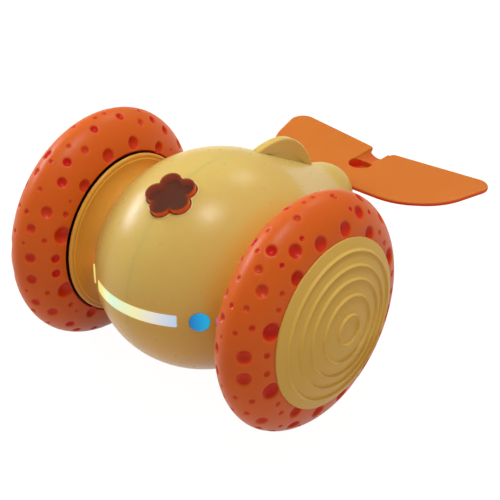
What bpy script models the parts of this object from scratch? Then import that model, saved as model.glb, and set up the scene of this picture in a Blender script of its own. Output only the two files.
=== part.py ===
"""Automatic cat toy: a ball body slung between two dimpled wheels, with a fin and a flat tail.

Lengths are metres. +X is the toy's right and runs along the wheel axis, -Y is the front, +Z is up.
The origin lies on the floor, under the middle of the toy's footprint.
"""
import math

import bmesh
import bpy
from mathutils import Matrix, Vector

# Fits shared by all pieces
CLEARANCE = 0.0003
OVERRUN = 0.002
SEAM_GAP = 0.0003
WELD_DISTANCE = 0.00001
SMOOTH_ANGLE = math.radians(38)

# Facets of the round forms
TYRE_STEPS = 36
CAP_STEPS = 30
RIM_STEPS = 24
BODY_STEPS = 38
HOLLOW_STEPS = 24
SMALL_STEPS = 16
FILLET_STEP = math.radians(16)

# Wheels: rubber tyre, rim and domed cap with ring beads
TYRE_RADIUS = 0.0350
TYRE_HALF_WIDTH = 0.0095
TYRE_SHOULDER_DEPTH = 0.0127
TYRE_DEPTH = 0.0105
TYRE_MOUTH_CHAMFER = 0.0006
TYRE_ROUNDNESS = 1.85
TYRE_SECTION_STEPS = 12
WHEEL_OVERLAP = 0.0002
RIM_WALL = 0.0016
RIM_INSET = 0.0022
HUB_RADIUS = 0.0040
HUB_HALF_LENGTH = 0.0062
CAP_RISE = 0.0047
CAP_THICKNESS = 0.0014
CAP_SKIRT = 0.0020
BEAD_RADIUS_SHARES = (0.18, 0.41, 0.585, 0.735, 0.895)
BEAD_WIDTH = 0.0015
BEAD_HEIGHT = 0.0005

# Ball body: an ellipsoid that runs on as a cone and ends in a round tail nub
BALL_HALF_WIDTH = 0.0319
BALL_HALF_HEIGHT = 0.0312
BALL_HALF_LENGTH = 0.0364
BALL_SETBACK = 0.0053
BALL_ARC_STEPS = 12
WALL = 0.0020
CONE_SLOPE = 0.57
CONE_END = 0.0490
NUB_CENTRE = 0.0541
NUB_RADIUS = 0.0097
NUB_LENGTH = 0.0105
NUB_STEPS = 4
BLEND_STEPS = 3
HOLLOW_END = 0.0450

# Necks that carry the wheels
FLANGE_GAP = 0.0007
FLANGE_SINK = 0.0023
FLANGE_LIP = 0.0009
NECK_DEPTH = 0.0076
NECK_WIDTH = 0.0041
NECK_CURVE_STEPS = 5

# Front lights on the equator
STRIP_HALF_ANGLE = math.radians(27.6)
STRIP_HEIGHT = 0.0037
LIGHT_LIFT = -0.0003
LIGHT_RADIUS = 0.0028
LIGHT_REACH = 0.0005
INNER_LIGHT_ANGLE = math.radians(38.7)
OUTER_LIGHT_ANGLE = math.radians(51.0)

# Flower push button
BUTTON_ANGLE = math.radians(61.5)
PETAL_COUNT = 5
PETAL_RADIUS = 0.0032
PETAL_CENTRE = 0.0042
PETAL_STEPS = 6
BUTTON_RISE = 0.0014
BUTTON_DISC_RADIUS = 0.0084
BUTTON_DISC_DEPTH = 0.0037
BUTTON_DISC_THICKNESS = 0.0008
BUTTON_STEM_RADIUS = 0.0014
BUTTON_TRAVEL = 0.0006
BUTTON_EDGE = 0.0004

# Dorsal fin
FIN_START = 0.0240
FIN_CHORD = 0.0284
FIN_HEIGHT = 0.0062
FIN_THICKNESS = 0.0026
FIN_ROOT = 0.0012
FIN_EDGE = 0.0009
FIN_OUTLINE_SHARES = (
    (0.0, 0.0), (0.07, 0.25), (0.17, 0.52), (0.30, 0.78), (0.44, 0.95), (0.58, 1.0),
    (0.72, 0.95), (0.84, 0.79), (0.93, 0.54), (0.985, 0.24), (1.0, 0.0),
)

# Tail paddle: a thin plate with drooping lobes and a thick middle that holds the lure hole
TAIL_THICKNESS = 0.0013
TAIL_TOP = 0.0025
TAIL_DROOP_SLOPE = 0.034
TAIL_EDGE = 0.0004
TAIL_FRONT = 0.0612
TAIL_LENGTH = 0.0319
TAIL_HALF_SPAN = 0.0396
TAIL_SHOULDER_SHARES = (0.54, 0.035)
TAIL_SIDE_SHARES = (0.85, 0.322)
TAIL_CORNER_SHARES = (0.090, 0.790)
TAIL_SIDE_FILLET = 0.0210
TAIL_TIP_FILLET = 0.0042
TAIL_CORNER_FILLET = 0.0018
TONGUE_HALF_WIDTH = 0.0040
TONGUE_LENGTH = 0.0100
TONGUE_FILLET = 0.0006
LURE_HOLE_DISTANCE = 0.0139
LURE_HOLE_RADIUS = 0.0035
LURE_HOLE_DEPTH = 0.0036
CHANNEL_HALF_WIDTH = 0.0031
CHANNEL_FRONT_DEPTH = 0.0010
CHANNEL_REAR_DEPTH = 0.0030
BOSS_WALL = 0.0022
BOSS_FLOOR = 0.0010

# Drive: a gear motor on each side with its output shaft
MOTOR_SPACING = 0.0038
MOTOR_WIDTH = 0.0120
MOTOR_HEIGHT = 0.0100
MOTOR_CORNER = 0.0020
GEARBOX_LENGTH = 0.0090
GEARBOX_CORNER = 0.0005
SHAFT_RADIUS = 0.0015
SHAFT_SEAT = 0.0040
BUSH_WALL = 0.0014
BUSH_FLANGE_RADIUS = 0.0044
BUSH_FLANGE = 0.0008

# Inner frame and what it carries
PLATE_THICKNESS = 0.0016
PLATE_HALF_WIDTH = 0.0200
PLATE_FRONT = 0.0300
PLATE_REAR = 0.0240
SADDLE_WALL = 0.0018
SADDLE_HALF_LENGTH = 0.0140
BRIDGE_THICKNESS = 0.0012
BATTERY_SIZE = (0.0300, 0.0220, 0.0080)
BATTERY_SETBACK = 0.0031
BATTERY_CORNER = 0.0012
WEIGHT_HALF_WIDTH = 0.0170
WEIGHT_GAP = 0.0004
RAIL_THICKNESS = 0.0016
RAIL_HALF_LENGTH = 0.0060
LED_BOARD_SIZE = (0.0240, 0.0012, 0.0070)
LED_BOARD_GAP = 0.0035
LED_POST_SIZE = (0.0100, 0.0016, 0.0080)
MAIN_BOARD_SIZE = (0.0400, 0.0280, 0.0015)
MAIN_BOARD_DEPTH = 0.0110
SWITCH_SIZE = (0.0060, 0.0060, 0.0034)
SOCKET_SIZE = (0.0090, 0.0032, 0.0073)
SOCKET_CORNER = 0.0012
SOCKET_WALL = 0.0004
SOCKET_DISTANCE = 0.0087
CHARGE_BOARD_SIZE = (0.0160, 0.0120, 0.0016)
CHARGE_POST_WIDTH = 0.0030
CHARGE_POST_SPACING = 0.0100


def clear_scene():
    """Remove whatever the scene holds."""
    for thing in list(bpy.data.objects):
        bpy.data.objects.remove(thing, do_unlink=True)


def make_collection(name):
    """A collection under the scene's own."""
    collection = bpy.data.collections.new(name)
    bpy.context.scene.collection.children.link(collection)
    return collection


clear_scene()
TOY = make_collection("automatic_cat_toy")
CUTTERS = make_collection("cutters")


def make_material(name, color, roughness, metallic=0.0):
    """A plain principled material."""
    material = bpy.data.materials.new(name)
    material.use_nodes = True
    shader = material.node_tree.nodes["Principled BSDF"]
    shader.inputs["Base Color"].default_value = (*color, 1.0)
    shader.inputs["Roughness"].default_value = roughness
    shader.inputs["Metallic"].default_value = metallic
    material.diffuse_color = (*color, 1.0)
    return material


def make_empty(name, location, rotation=(0.0, 0.0, 0.0), parent=None):
    """An empty that pieces hang on."""
    empty = bpy.data.objects.new(name, None)
    TOY.objects.link(empty)
    empty.location = location
    empty.rotation_euler = rotation
    empty.parent = parent
    return empty


def make_piece(name, mesh, parent, material, location=(0.0, 0.0, 0.0), rotation=(0.0, 0.0, 0.0)):
    """A named sub-part made from a mesh."""
    mesh.shade_smooth()
    mesh.set_sharp_from_angle(angle=SMOOTH_ANGLE)
    mesh.materials.clear()
    mesh.materials.append(material)
    piece = bpy.data.objects.new(name, mesh)
    TOY.objects.link(piece)
    piece.location = location
    piece.rotation_euler = rotation
    piece.parent = parent
    return piece


def make_cutter(name, mesh, parent, location=(0.0, 0.0, 0.0), rotation=(0.0, 0.0, 0.0)):
    """A helper solid for the Booleans, left out of the build."""
    cutter = bpy.data.objects.new(name, mesh)
    CUTTERS.objects.link(cutter)
    cutter.location = location
    cutter.rotation_euler = rotation
    cutter.parent = parent
    cutter.hide_render = True
    cutter.display_type = "WIRE"
    return cutter


def add_boolean(piece, operation, cutter):
    """Cut, join or keep the common part of a piece and a helper."""
    modifier = piece.modifiers.new(cutter.name, "BOOLEAN")
    modifier.operation = operation
    modifier.object = cutter
    modifier.solver = "EXACT"


def add_bevel(piece, width, segments):
    """Round the sharp edges of a piece."""
    modifier = piece.modifiers.new("rounded_edges", "BEVEL")
    modifier.width = width
    modifier.segments = segments
    modifier.limit_method = "ANGLE"
    modifier.angle_limit = SMOOTH_ANGLE


def evaluated_mesh(thing):
    """The mesh that an object's modifiers or curve give, in the object's own frame."""
    bpy.context.view_layer.update()
    depsgraph = bpy.context.evaluated_depsgraph_get()
    return bpy.data.meshes.new_from_object(thing.evaluated_get(depsgraph))


def turned_mesh(profile, steps, closed=False):
    """A profile of (radius, height) pairs, listed down its outer side, turned about local Z."""
    mesh = bpy.data.meshes.new("profile")
    points = [(radius, 0.0, height) for radius, height in profile]
    edges = [(index, index + 1) for index in range(len(points) - 1)]
    if closed:
        edges.append((len(points) - 1, 0))
    mesh.from_pydata(points, edges, [])
    helper = bpy.data.objects.new("turning", mesh)
    CUTTERS.objects.link(helper)
    screw = helper.modifiers.new("turn", "SCREW")
    screw.steps = steps
    screw.render_steps = steps
    screw.use_merge_vertices = True
    screw.merge_threshold = WELD_DISTANCE
    result = evaluated_mesh(helper)
    bpy.data.objects.remove(helper, do_unlink=True)
    return result


def box_mesh(size, centre=(0.0, 0.0, 0.0)):
    """A box of the given size about a centre."""
    mesh = bpy.data.meshes.new("box")
    shape = bmesh.new()
    bmesh.ops.create_cube(shape, size=1.0)
    bmesh.ops.scale(shape, vec=Vector(size), verts=shape.verts)
    bmesh.ops.translate(shape, vec=Vector(centre), verts=shape.verts)
    shape.to_mesh(mesh)
    shape.free()
    return mesh


def cylinder_mesh(radius, bottom, top):
    """A cylinder about local Z from one height to another."""
    profile = [(0.0, top), (radius, top), (radius, bottom), (0.0, bottom)]
    return turned_mesh(profile, SMALL_STEPS)


def plate_mesh(outline, thickness):
    """A flat outline in local XY, thickened evenly to both sides."""
    curve = bpy.data.curves.new("outline", "CURVE")
    curve.dimensions = "2D"
    curve.fill_mode = "BOTH"
    curve.extrude = thickness / 2
    spline = curve.splines.new("POLY")
    spline.points.add(len(outline) - 1)
    for point, (x, y) in zip(spline.points, outline):
        point.co = (x, y, 0.0, 1.0)
    spline.use_cyclic_u = True
    helper = bpy.data.objects.new("plate", curve)
    CUTTERS.objects.link(helper)
    mesh = evaluated_mesh(helper)
    bpy.data.objects.remove(helper, do_unlink=True)
    shape = bmesh.new()
    shape.from_mesh(mesh)
    bmesh.ops.remove_doubles(shape, verts=shape.verts, dist=WELD_DISTANCE)
    bmesh.ops.dissolve_limit(
        shape, angle_limit=math.radians(0.1), verts=shape.verts, edges=shape.edges)
    shape.to_mesh(mesh)
    shape.free()
    return mesh


def arc(centre, radius, start, sweep, steps):
    """Points along an arc, its ends included."""
    points = []
    for step in range(steps + 1):
        angle = start + sweep * step / steps
        points.append((centre[0] + radius * math.cos(angle), centre[1] + radius * math.sin(angle)))
    return points


def fillet(before, corner, after, radius):
    """The arc that rounds a corner between two neighbours."""
    if radius == 0:
        return [tuple(corner)]
    corner = Vector(corner)
    back = (Vector(before) - corner).normalized()
    ahead = (Vector(after) - corner).normalized()
    half = back.angle(ahead) / 2
    centre = corner + (back + ahead).normalized() * (radius / math.sin(half))
    start = corner + back * (radius / math.tan(half)) - centre
    end = corner + ahead * (radius / math.tan(half)) - centre
    sweep = math.atan2(start.x * end.y - start.y * end.x, start.dot(end))
    steps = max(2, math.ceil(abs(sweep) / FILLET_STEP))
    return arc(centre, radius, math.atan2(start.y, start.x), sweep, steps)


def rounded_outline(corners):
    """A closed outline of (x, y, fillet radius) corners with each corner rounded."""
    outline = []
    for index, (x, y, radius) in enumerate(corners):
        before = corners[index - 1][:2]
        after = corners[(index + 1) % len(corners)][:2]
        outline.extend(fillet(before, (x, y), after, radius))
    return outline


def rounded_rectangle(width, height, corner):
    """A rectangle with rounded corners about the origin."""
    x = width / 2
    y = height / 2
    return rounded_outline([(x, -y, corner), (x, y, corner), (-x, y, corner), (-x, -y, corner)])


def bore_radius():
    """Radius of the tyre's bore."""
    return TYRE_RADIUS - TYRE_DEPTH


def shoulder_radius():
    """Radius from which the tyre's section rises."""
    return TYRE_RADIUS - TYRE_SHOULDER_DEPTH


def flange_radius():
    """Radius of a flange, which sits in the mouth of the tyre."""
    return bore_radius() - FLANGE_GAP


def flange_offset():
    """Distance of a flange's outer face from the middle plane."""
    return BALL_HALF_WIDTH - FLANGE_SINK


def wheel_offset():
    """Distance of a wheel's middle plane from the toy's."""
    return flange_offset() - WHEEL_OVERLAP + TYRE_HALF_WIDTH


def cone_start(inset):
    """Profile angle, radius and distance behind the axle where the cone leaves the ball."""
    length = BALL_HALF_LENGTH - inset
    height = BALL_HALF_HEIGHT - inset
    angle = math.pi - math.atan(height / length / CONE_SLOPE)
    return angle, height * math.sin(angle), BALL_SETBACK - length * math.cos(angle)


def cone_radius(distance, inset=0.0):
    """Radius of the cone at a distance behind the axle."""
    _, radius, start = cone_start(inset)
    return radius - CONE_SLOPE * (distance - start)


def ball_arc(inset):
    """Ball profile of (radius, distance behind the axle), from the front pole to the cone."""
    last, _, _ = cone_start(inset)
    points = []
    for step in range(BALL_ARC_STEPS + 1):
        angle = last * step / BALL_ARC_STEPS
        radius = (BALL_HALF_HEIGHT - inset) * math.sin(angle)
        points.append((radius, BALL_SETBACK - (BALL_HALF_LENGTH - inset) * math.cos(angle)))
    return points


def body_profile():
    """Outer profile of the ball, the cone and the tail nub."""
    points = ball_arc(0.0)
    start = Vector((cone_radius(CONE_END), CONE_END))
    corner = Vector((NUB_RADIUS, CONE_END + (start.x - NUB_RADIUS) / CONE_SLOPE))
    end = Vector((NUB_RADIUS, NUB_CENTRE))
    for step in range(BLEND_STEPS + 1):
        share = step / BLEND_STEPS
        point = start.lerp(corner, share).lerp(corner.lerp(end, share), share)
        points.append(tuple(point))
    for step in range(1, NUB_STEPS + 1):
        angle = math.pi / 2 * step / NUB_STEPS
        points.append((NUB_RADIUS * math.cos(angle), NUB_CENTRE + NUB_LENGTH * math.sin(angle)))
    return points


def hollow_profile(inset):
    """Profile of the space inside the walls, closed by a flat end ahead of the nub."""
    points = ball_arc(inset)
    points.append((cone_radius(HOLLOW_END, inset * math.hypot(1.0, CONE_SLOPE)), HOLLOW_END))
    points.append((0.0, HOLLOW_END))
    return points


def body_mesh(profile, steps):
    """A body profile turned about the fore-and-aft axis and widened to the ball's width."""
    mesh = turned_mesh([(radius, -distance) for radius, distance in profile], steps)
    widen = Matrix.Diagonal((BALL_HALF_WIDTH / BALL_HALF_HEIGHT, 1.0, 1.0, 1.0))
    mesh.transform(widen @ Matrix.Rotation(math.pi / 2, 4, "X"))
    return mesh


def along_x(mesh, side=1):
    """Turn a mesh so that its local Z runs to the toy's right, or to its left for side -1."""
    mesh.transform(Matrix.Rotation(side * math.pi / 2, 4, "Y"))
    return mesh


def spool_profile():
    """Both necks and flanges as one spool about the wheel axis."""
    curve = []
    reach = NECK_WIDTH - FLANGE_LIP
    for step in range(NECK_CURVE_STEPS + 1):
        angle = math.pi / 2 * step / NECK_CURVE_STEPS
        radius = flange_radius() - NECK_DEPTH * math.cos(angle)
        curve.append((radius, flange_offset() - NECK_WIDTH + reach * math.sin(angle)))
    top = [(0.0, flange_offset()), (flange_radius(), flange_offset())] + curve[::-1]
    return top + [(radius, -height) for radius, height in reversed(top)]


def light_pose(angle):
    """Place and heading of a light on the ball's equator, by its profile angle from the front."""
    place = Vector((BALL_HALF_WIDTH * math.sin(angle),
                    BALL_SETBACK - BALL_HALF_LENGTH * math.cos(angle), LIGHT_LIFT))
    heading = math.atan2(math.cos(angle) / BALL_HALF_LENGTH, math.sin(angle) / BALL_HALF_WIDTH)
    return place, heading


def button_pose():
    """Place of the flower on the ball and the tilt of its axis to the front."""
    place = (0.0, BALL_SETBACK - BALL_HALF_LENGTH * math.cos(BUTTON_ANGLE),
             BALL_HALF_HEIGHT * math.sin(BUTTON_ANGLE))
    tilt = math.atan2(math.cos(BUTTON_ANGLE) / BALL_HALF_LENGTH,
                      math.sin(BUTTON_ANGLE) / BALL_HALF_HEIGHT)
    return place, tilt


def flower_outline(margin):
    """Outline of round petals about the origin, one of them to the front."""
    outline = []
    radius = PETAL_RADIUS + margin
    half = math.pi / PETAL_COUNT
    for petal in range(PETAL_COUNT):
        middle = -math.pi / 2 + 2 * half * petal
        for step in range(PETAL_STEPS):
            off = half * (2 * step / PETAL_STEPS - 1)
            side = PETAL_CENTRE * math.sin(off)
            reach = PETAL_CENTRE * math.cos(off) + math.sqrt(radius ** 2 - side ** 2)
            outline.append((reach * math.cos(middle + off), reach * math.sin(middle + off)))
    return outline


def tail_rear():
    """Distance behind the axle of the tail's rear edge beside the channel."""
    return TAIL_FRONT + TAIL_CORNER_SHARES[1] * TAIL_LENGTH


def tail_outline():
    """Outline of the tail with its tongue, as distances behind the axle."""
    span, length = TAIL_HALF_SPAN, TAIL_LENGTH
    right = [
        (TONGUE_HALF_WIDTH, TAIL_FRONT - TONGUE_LENGTH, TONGUE_FILLET),
        (TONGUE_HALF_WIDTH, TAIL_FRONT, 0.0),
        (TAIL_SHOULDER_SHARES[0] * span, TAIL_FRONT + TAIL_SHOULDER_SHARES[1] * length,
         TAIL_SIDE_FILLET),
        (TAIL_SIDE_SHARES[0] * span, TAIL_FRONT + TAIL_SIDE_SHARES[1] * length,
         TAIL_SIDE_FILLET),
        (span, TAIL_FRONT + length, TAIL_TIP_FILLET),
        (TAIL_CORNER_SHARES[0] * span, tail_rear(), TAIL_CORNER_FILLET),
        (CHANNEL_HALF_WIDTH, lure_hole_centre(), 0.0),
    ]
    left = [(-x, y, radius) for x, y, radius in reversed(right)]
    return rounded_outline(right + left)


def lure_hole_centre():
    """Distance behind the axle of the middle of the lure hole."""
    return TAIL_FRONT + LURE_HOLE_DISTANCE


def boss_outline():
    """Outline of the thick middle of the tail: round ahead of the lure hole, straight behind it."""
    radius = LURE_HOLE_RADIUS + BOSS_WALL
    rear = tail_rear() - TAIL_CORNER_FILLET
    front = arc((0.0, lure_hole_centre()), radius, math.pi, math.pi, SMALL_STEPS)
    return front + [(radius, rear), (-radius, rear)]


def channel_mesh():
    """Wedge that cuts the channel behind the lure hole, deeper toward the rear edge."""
    front = lure_hole_centre()
    rear = tail_rear() + OVERRUN
    above = TAIL_TOP + OVERRUN
    profile = [(front, TAIL_TOP - CHANNEL_FRONT_DEPTH), (rear, TAIL_TOP - CHANNEL_REAR_DEPTH),
               (rear, above), (front, above)]
    mesh = plate_mesh(profile, 2 * CHANNEL_HALF_WIDTH)
    mesh.transform(Matrix(((0, 0, 1, 0), (1, 0, 0, 0), (0, 1, 0, 0), (0, 0, 0, 1))))
    return mesh


def hang_toy():
    """The empty on the wheel axis that carries the whole toy over the origin."""
    rear = max(y for _, y in tail_outline())
    return make_empty("toy_axle", (0.0, (TYRE_RADIUS - rear) / 2, TYRE_RADIUS))


AXLE = hang_toy()
BUTTON_PLACE, BUTTON_TILT = button_pose()
BUTTON = make_empty("button_axis", BUTTON_PLACE, (BUTTON_TILT, 0.0, 0.0), AXLE)


def fin_pose():
    """Place and turn of the fin's own frame: X along the body's slope, Y out of it."""
    along = Vector((0.0, 1.0, -CONE_SLOPE)).normalized()
    out = Vector((0.0, CONE_SLOPE, 1.0)).normalized()
    frame = Matrix((along, out, along.cross(out))).transposed()
    return (0.0, FIN_START, cone_radius(FIN_START)), frame.to_euler()


def seat_cutter(name, size, centre, parent=AXLE, rotation=(0.0, 0.0, 0.0)):
    """A box that clears a seat."""
    return make_cutter(name, box_mesh(size), parent, centre, rotation)


def light_plug(name, angle, side, radius):
    """A round plug through the wall at a light's place."""
    place, heading = light_pose(angle)
    place.x *= side
    mesh = cylinder_mesh(radius, -WALL - OVERRUN, LIGHT_REACH)
    mesh.transform(Matrix.Rotation(math.pi / 2, 4, "Y"))
    turn = -heading if side > 0 else math.pi + heading
    return make_cutter(name, mesh, AXLE, place, (0.0, 0.0, turn))


def strip_plug(name, margin):
    """A box through the wall where the light strip sits."""
    half_width = BALL_HALF_WIDTH * math.sin(STRIP_HALF_ANGLE) + margin
    front = BALL_SETBACK - BALL_HALF_LENGTH
    size = (2 * half_width, BALL_HALF_LENGTH, STRIP_HEIGHT + 2 * margin)
    return seat_cutter(name, size, (0.0, front, LIGHT_LIFT))


def flower_hole():
    """The flower-shaped hole in the wall round the button."""
    depth = 2 * (BUTTON_DISC_DEPTH + OVERRUN)
    return make_cutter("flower_hole", plate_mesh(flower_outline(CLEARANCE), depth), BUTTON)


def fin_slot():
    """The pocket that takes the fin's root, across the parting plane."""
    place, turn = fin_pose()
    length = FIN_CHORD + 2 * CLEARANCE
    depth = FIN_ROOT + CLEARANCE
    size = (length, depth + OVERRUN, FIN_THICKNESS + 2 * CLEARANCE)
    mesh = box_mesh(size, (FIN_CHORD / 2, (OVERRUN - depth) / 2, 0.0))
    return make_cutter("fin_slot", mesh, AXLE, place, turn)


def tail_jaw():
    """The slot across the nub that holds the front edge of the tail."""
    front = TAIL_FRONT - CLEARANCE
    rear = NUB_CENTRE + NUB_LENGTH + OVERRUN
    droop = TAIL_DROOP_SLOPE * NUB_RADIUS
    height = TAIL_THICKNESS + 2 * CLEARANCE + droop
    size = (2 * (NUB_RADIUS + OVERRUN), rear - front, height)
    return seat_cutter("tail_jaw", size, (0.0, (front + rear) / 2, tail_middle() - droop / 2))


def tongue_pocket():
    """The pocket ahead of the jaw for the tail's tongue."""
    front = TAIL_FRONT - TONGUE_LENGTH - CLEARANCE
    rear = TAIL_FRONT + OVERRUN
    droop = TAIL_DROOP_SLOPE * TONGUE_HALF_WIDTH
    size = (2 * (TONGUE_HALF_WIDTH + CLEARANCE), rear - front,
            TAIL_THICKNESS + 2 * CLEARANCE + droop)
    return seat_cutter("tongue_pocket", size,
                       (0.0, (front + rear) / 2, tail_middle() - droop / 2))


def socket_place():
    """Distance of the charging socket behind the axle."""
    return BALL_SETBACK + SOCKET_DISTANCE


def socket_bottom():
    """Height of the outer wall under the charging socket."""
    off = (socket_place() - BALL_SETBACK) / BALL_HALF_LENGTH
    return -BALL_HALF_HEIGHT * math.sqrt(1.0 - off ** 2)


def socket_hole():
    """The hole through the wall for the charging socket."""
    width, height, depth = SOCKET_SIZE
    outline = rounded_rectangle(width + 2 * CLEARANCE, height + 2 * CLEARANCE,
                                SOCKET_CORNER + CLEARANCE)
    return make_cutter("socket_hole", plate_mesh(outline, depth), AXLE,
                       (0.0, socket_place(), socket_bottom()))


def bush_outer_radius():
    """Outer radius of the bush that carries an output shaft."""
    return SHAFT_RADIUS + CLEARANCE + BUSH_WALL


def bush_hole():
    """One long rod that bores the bush seats through both sides."""
    reach = BALL_HALF_WIDTH + OVERRUN
    mesh = along_x(cylinder_mesh(bush_outer_radius() + CLEARANCE, -reach, reach))
    return make_cutter("bush_hole", mesh, AXLE)


def make_hollow(name, inset):
    """The space inside the walls, drawn in by an inset, with flat ends that seat the bushes."""
    hollow = make_cutter(name, body_mesh(hollow_profile(inset), HOLLOW_STEPS), AXLE)
    reach = NUB_CENTRE + NUB_LENGTH
    ends = seat_cutter(name + "_ends", (2 * (flange_offset() - inset), 2 * reach, 2 * reach),
                       (0.0, 0.0, 0.0))
    add_boolean(hollow, "INTERSECT", ends)
    return hollow


def housing_mesh(hollow):
    """Ball, necks and nub as one wall, with every seat cut, before it is parted in halves."""
    body = make_cutter("body_form", body_mesh(body_profile(), BODY_STEPS), AXLE)
    spool = make_cutter("neck_form", along_x(turned_mesh(spool_profile(), BODY_STEPS)), AXLE)
    add_boolean(body, "UNION", spool)
    for cutter in (hollow, bush_hole(), strip_plug("strip_window", CLEARANCE), flower_hole(),
                   fin_slot(), tail_jaw(), tongue_pocket(), socket_hole()):
        add_boolean(body, "DIFFERENCE", cutter)
    for side, word in ((1, "right"), (-1, "left")):
        for angle, place in ((INNER_LIGHT_ANGLE, "inner"), (OUTER_LIGHT_ANGLE, "outer")):
            hole = light_plug("%s_%s_window" % (word, place), angle, side,
                              LIGHT_RADIUS + CLEARANCE)
            add_boolean(body, "DIFFERENCE", hole)
    return evaluated_mesh(body)


def make_shells(hollow):
    """The two halves of the housing, parted on the middle plane."""
    whole = housing_mesh(hollow)
    reach = NUB_CENTRE + NUB_LENGTH + OVERRUN
    for side, word in ((1, "right"), (-1, "left")):
        material = make_material(word + "_shell_plastic", (0.62, 0.40, 0.11), 0.32)
        half = seat_cutter(word + "_half", (reach, 2 * reach, 2 * reach),
                           (side * (reach + SEAM_GAP) / 2, 0.0, 0.0))
        shell = make_piece(word + "_shell", whole.copy(), AXLE, material)
        add_boolean(shell, "INTERSECT", half)


def make_lights(hollow):
    """Light strip and round lights: lenses that fill their windows flush with the ball."""
    plugs = [("light_strip", strip_plug("strip_form", 0.0), (0.75, 0.86, 0.62))]
    colors = {"right_inner": (0.05, 0.30, 0.75), "right_outer": (0.66, 0.24, 0.45),
              "left_inner": (0.80, 0.70, 0.25), "left_outer": (0.80, 0.45, 0.15)}
    for side, word in ((1, "right"), (-1, "left")):
        for angle, place in ((INNER_LIGHT_ANGLE, "inner"), (OUTER_LIGHT_ANGLE, "outer")):
            name = "%s_%s_light" % (word, place)
            plug = light_plug(name + "_form", angle, side, LIGHT_RADIUS)
            plugs.append((name, plug, colors["%s_%s" % (word, place)]))
    for name, plug, color in plugs:
        material = make_material(name + "_lens", color, 0.25)
        lens = make_piece(name, body_mesh(body_profile(), BODY_STEPS), AXLE, material)
        add_boolean(lens, "DIFFERENCE", hollow)
        add_boolean(lens, "INTERSECT", plug)


def make_button():
    """Flower push button: petals through the wall, a stop disc inside it and a short stem."""
    top = BUTTON_RISE
    disc_top = -BUTTON_DISC_DEPTH
    stem_end = switch_top() + BUTTON_TRAVEL + CLEARANCE
    petals = plate_mesh(flower_outline(0.0), top - disc_top + OVERRUN)
    petals.transform(Matrix.Translation((0.0, 0.0, (top + disc_top - OVERRUN) / 2)))
    disc_bottom = disc_top - BUTTON_DISC_THICKNESS
    profile = [(0.0, disc_top), (BUTTON_DISC_RADIUS, disc_top), (BUTTON_DISC_RADIUS, disc_bottom),
               (BUTTON_STEM_RADIUS, disc_bottom), (BUTTON_STEM_RADIUS, stem_end), (0.0, stem_end)]
    disc = make_cutter("button_disc", turned_mesh(profile, SMALL_STEPS), BUTTON)
    overlap = OVERRUN - BUTTON_DISC_THICKNESS / 2
    trim = make_cutter("petal_trim", box_mesh(
        (4 * BUTTON_DISC_RADIUS, 4 * BUTTON_DISC_RADIUS, 2 * overlap),
        (0.0, 0.0, disc_top - BUTTON_DISC_THICKNESS / 2 - overlap)), BUTTON)
    material = make_material("flower_button_plastic", (0.16, 0.045, 0.025), 0.15)
    button = make_piece("flower_button", petals, BUTTON, material)
    add_bevel(button, BUTTON_EDGE, 2)
    add_boolean(button, "DIFFERENCE", trim)
    add_boolean(button, "UNION", disc)


def switch_top():
    """Height of the switch's top along the button's axis."""
    return -MAIN_BOARD_DEPTH + CLEARANCE + SWITCH_SIZE[2]


def make_main_board(board_hollow):
    """Circuit board square to the button, trimmed to sit against the walls, with its switch."""
    green = make_material("main_board_laminate", (0.02, 0.17, 0.07), 0.5)
    thickness = MAIN_BOARD_SIZE[2]
    board = make_piece("main_board", box_mesh(MAIN_BOARD_SIZE), BUTTON, green,
                       (0.0, 0.0, -MAIN_BOARD_DEPTH - thickness / 2))
    add_boolean(board, "INTERSECT", board_hollow)
    black = make_material("button_switch_plastic", (0.02, 0.02, 0.02), 0.5)
    switch = make_piece("button_switch", box_mesh(SWITCH_SIZE), BUTTON, black,
                        (0.0, 0.0, switch_top() - SWITCH_SIZE[2] / 2))
    add_bevel(switch, CLEARANCE, 1)


def make_fin():
    """Dorsal fin: a thick round-edged blade with its root in the slot of the body."""
    outline = [(along * FIN_CHORD, up * FIN_HEIGHT) for along, up in FIN_OUTLINE_SHARES]
    outline = outline + [(FIN_CHORD, -FIN_ROOT), (0.0, -FIN_ROOT)]
    place, turn = fin_pose()
    material = make_material("dorsal_fin_plastic", (0.58, 0.36, 0.10), 0.35)
    fin = make_piece("dorsal_fin", plate_mesh(outline, FIN_THICKNESS), AXLE, material, place, turn)
    add_bevel(fin, FIN_EDGE, 2)


def tail_mesh():
    """The tail plate, folded a little on the middle line so that its lobes droop."""
    mesh = plate_mesh(tail_outline(), TAIL_THICKNESS)
    shape = bmesh.new()
    shape.from_mesh(mesh)
    bmesh.ops.bisect_plane(shape, geom=shape.verts[:] + shape.edges[:] + shape.faces[:],
                           plane_co=(0.0, 0.0, 0.0), plane_no=(1.0, 0.0, 0.0))
    for vertex in shape.verts:
        vertex.co.z += tail_middle() - TAIL_DROOP_SLOPE * abs(vertex.co.x)
    shape.to_mesh(mesh)
    shape.free()
    return mesh


def tail_middle():
    """Height of the tail plate's middle plane at the middle line."""
    return TAIL_TOP - TAIL_THICKNESS / 2


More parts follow.
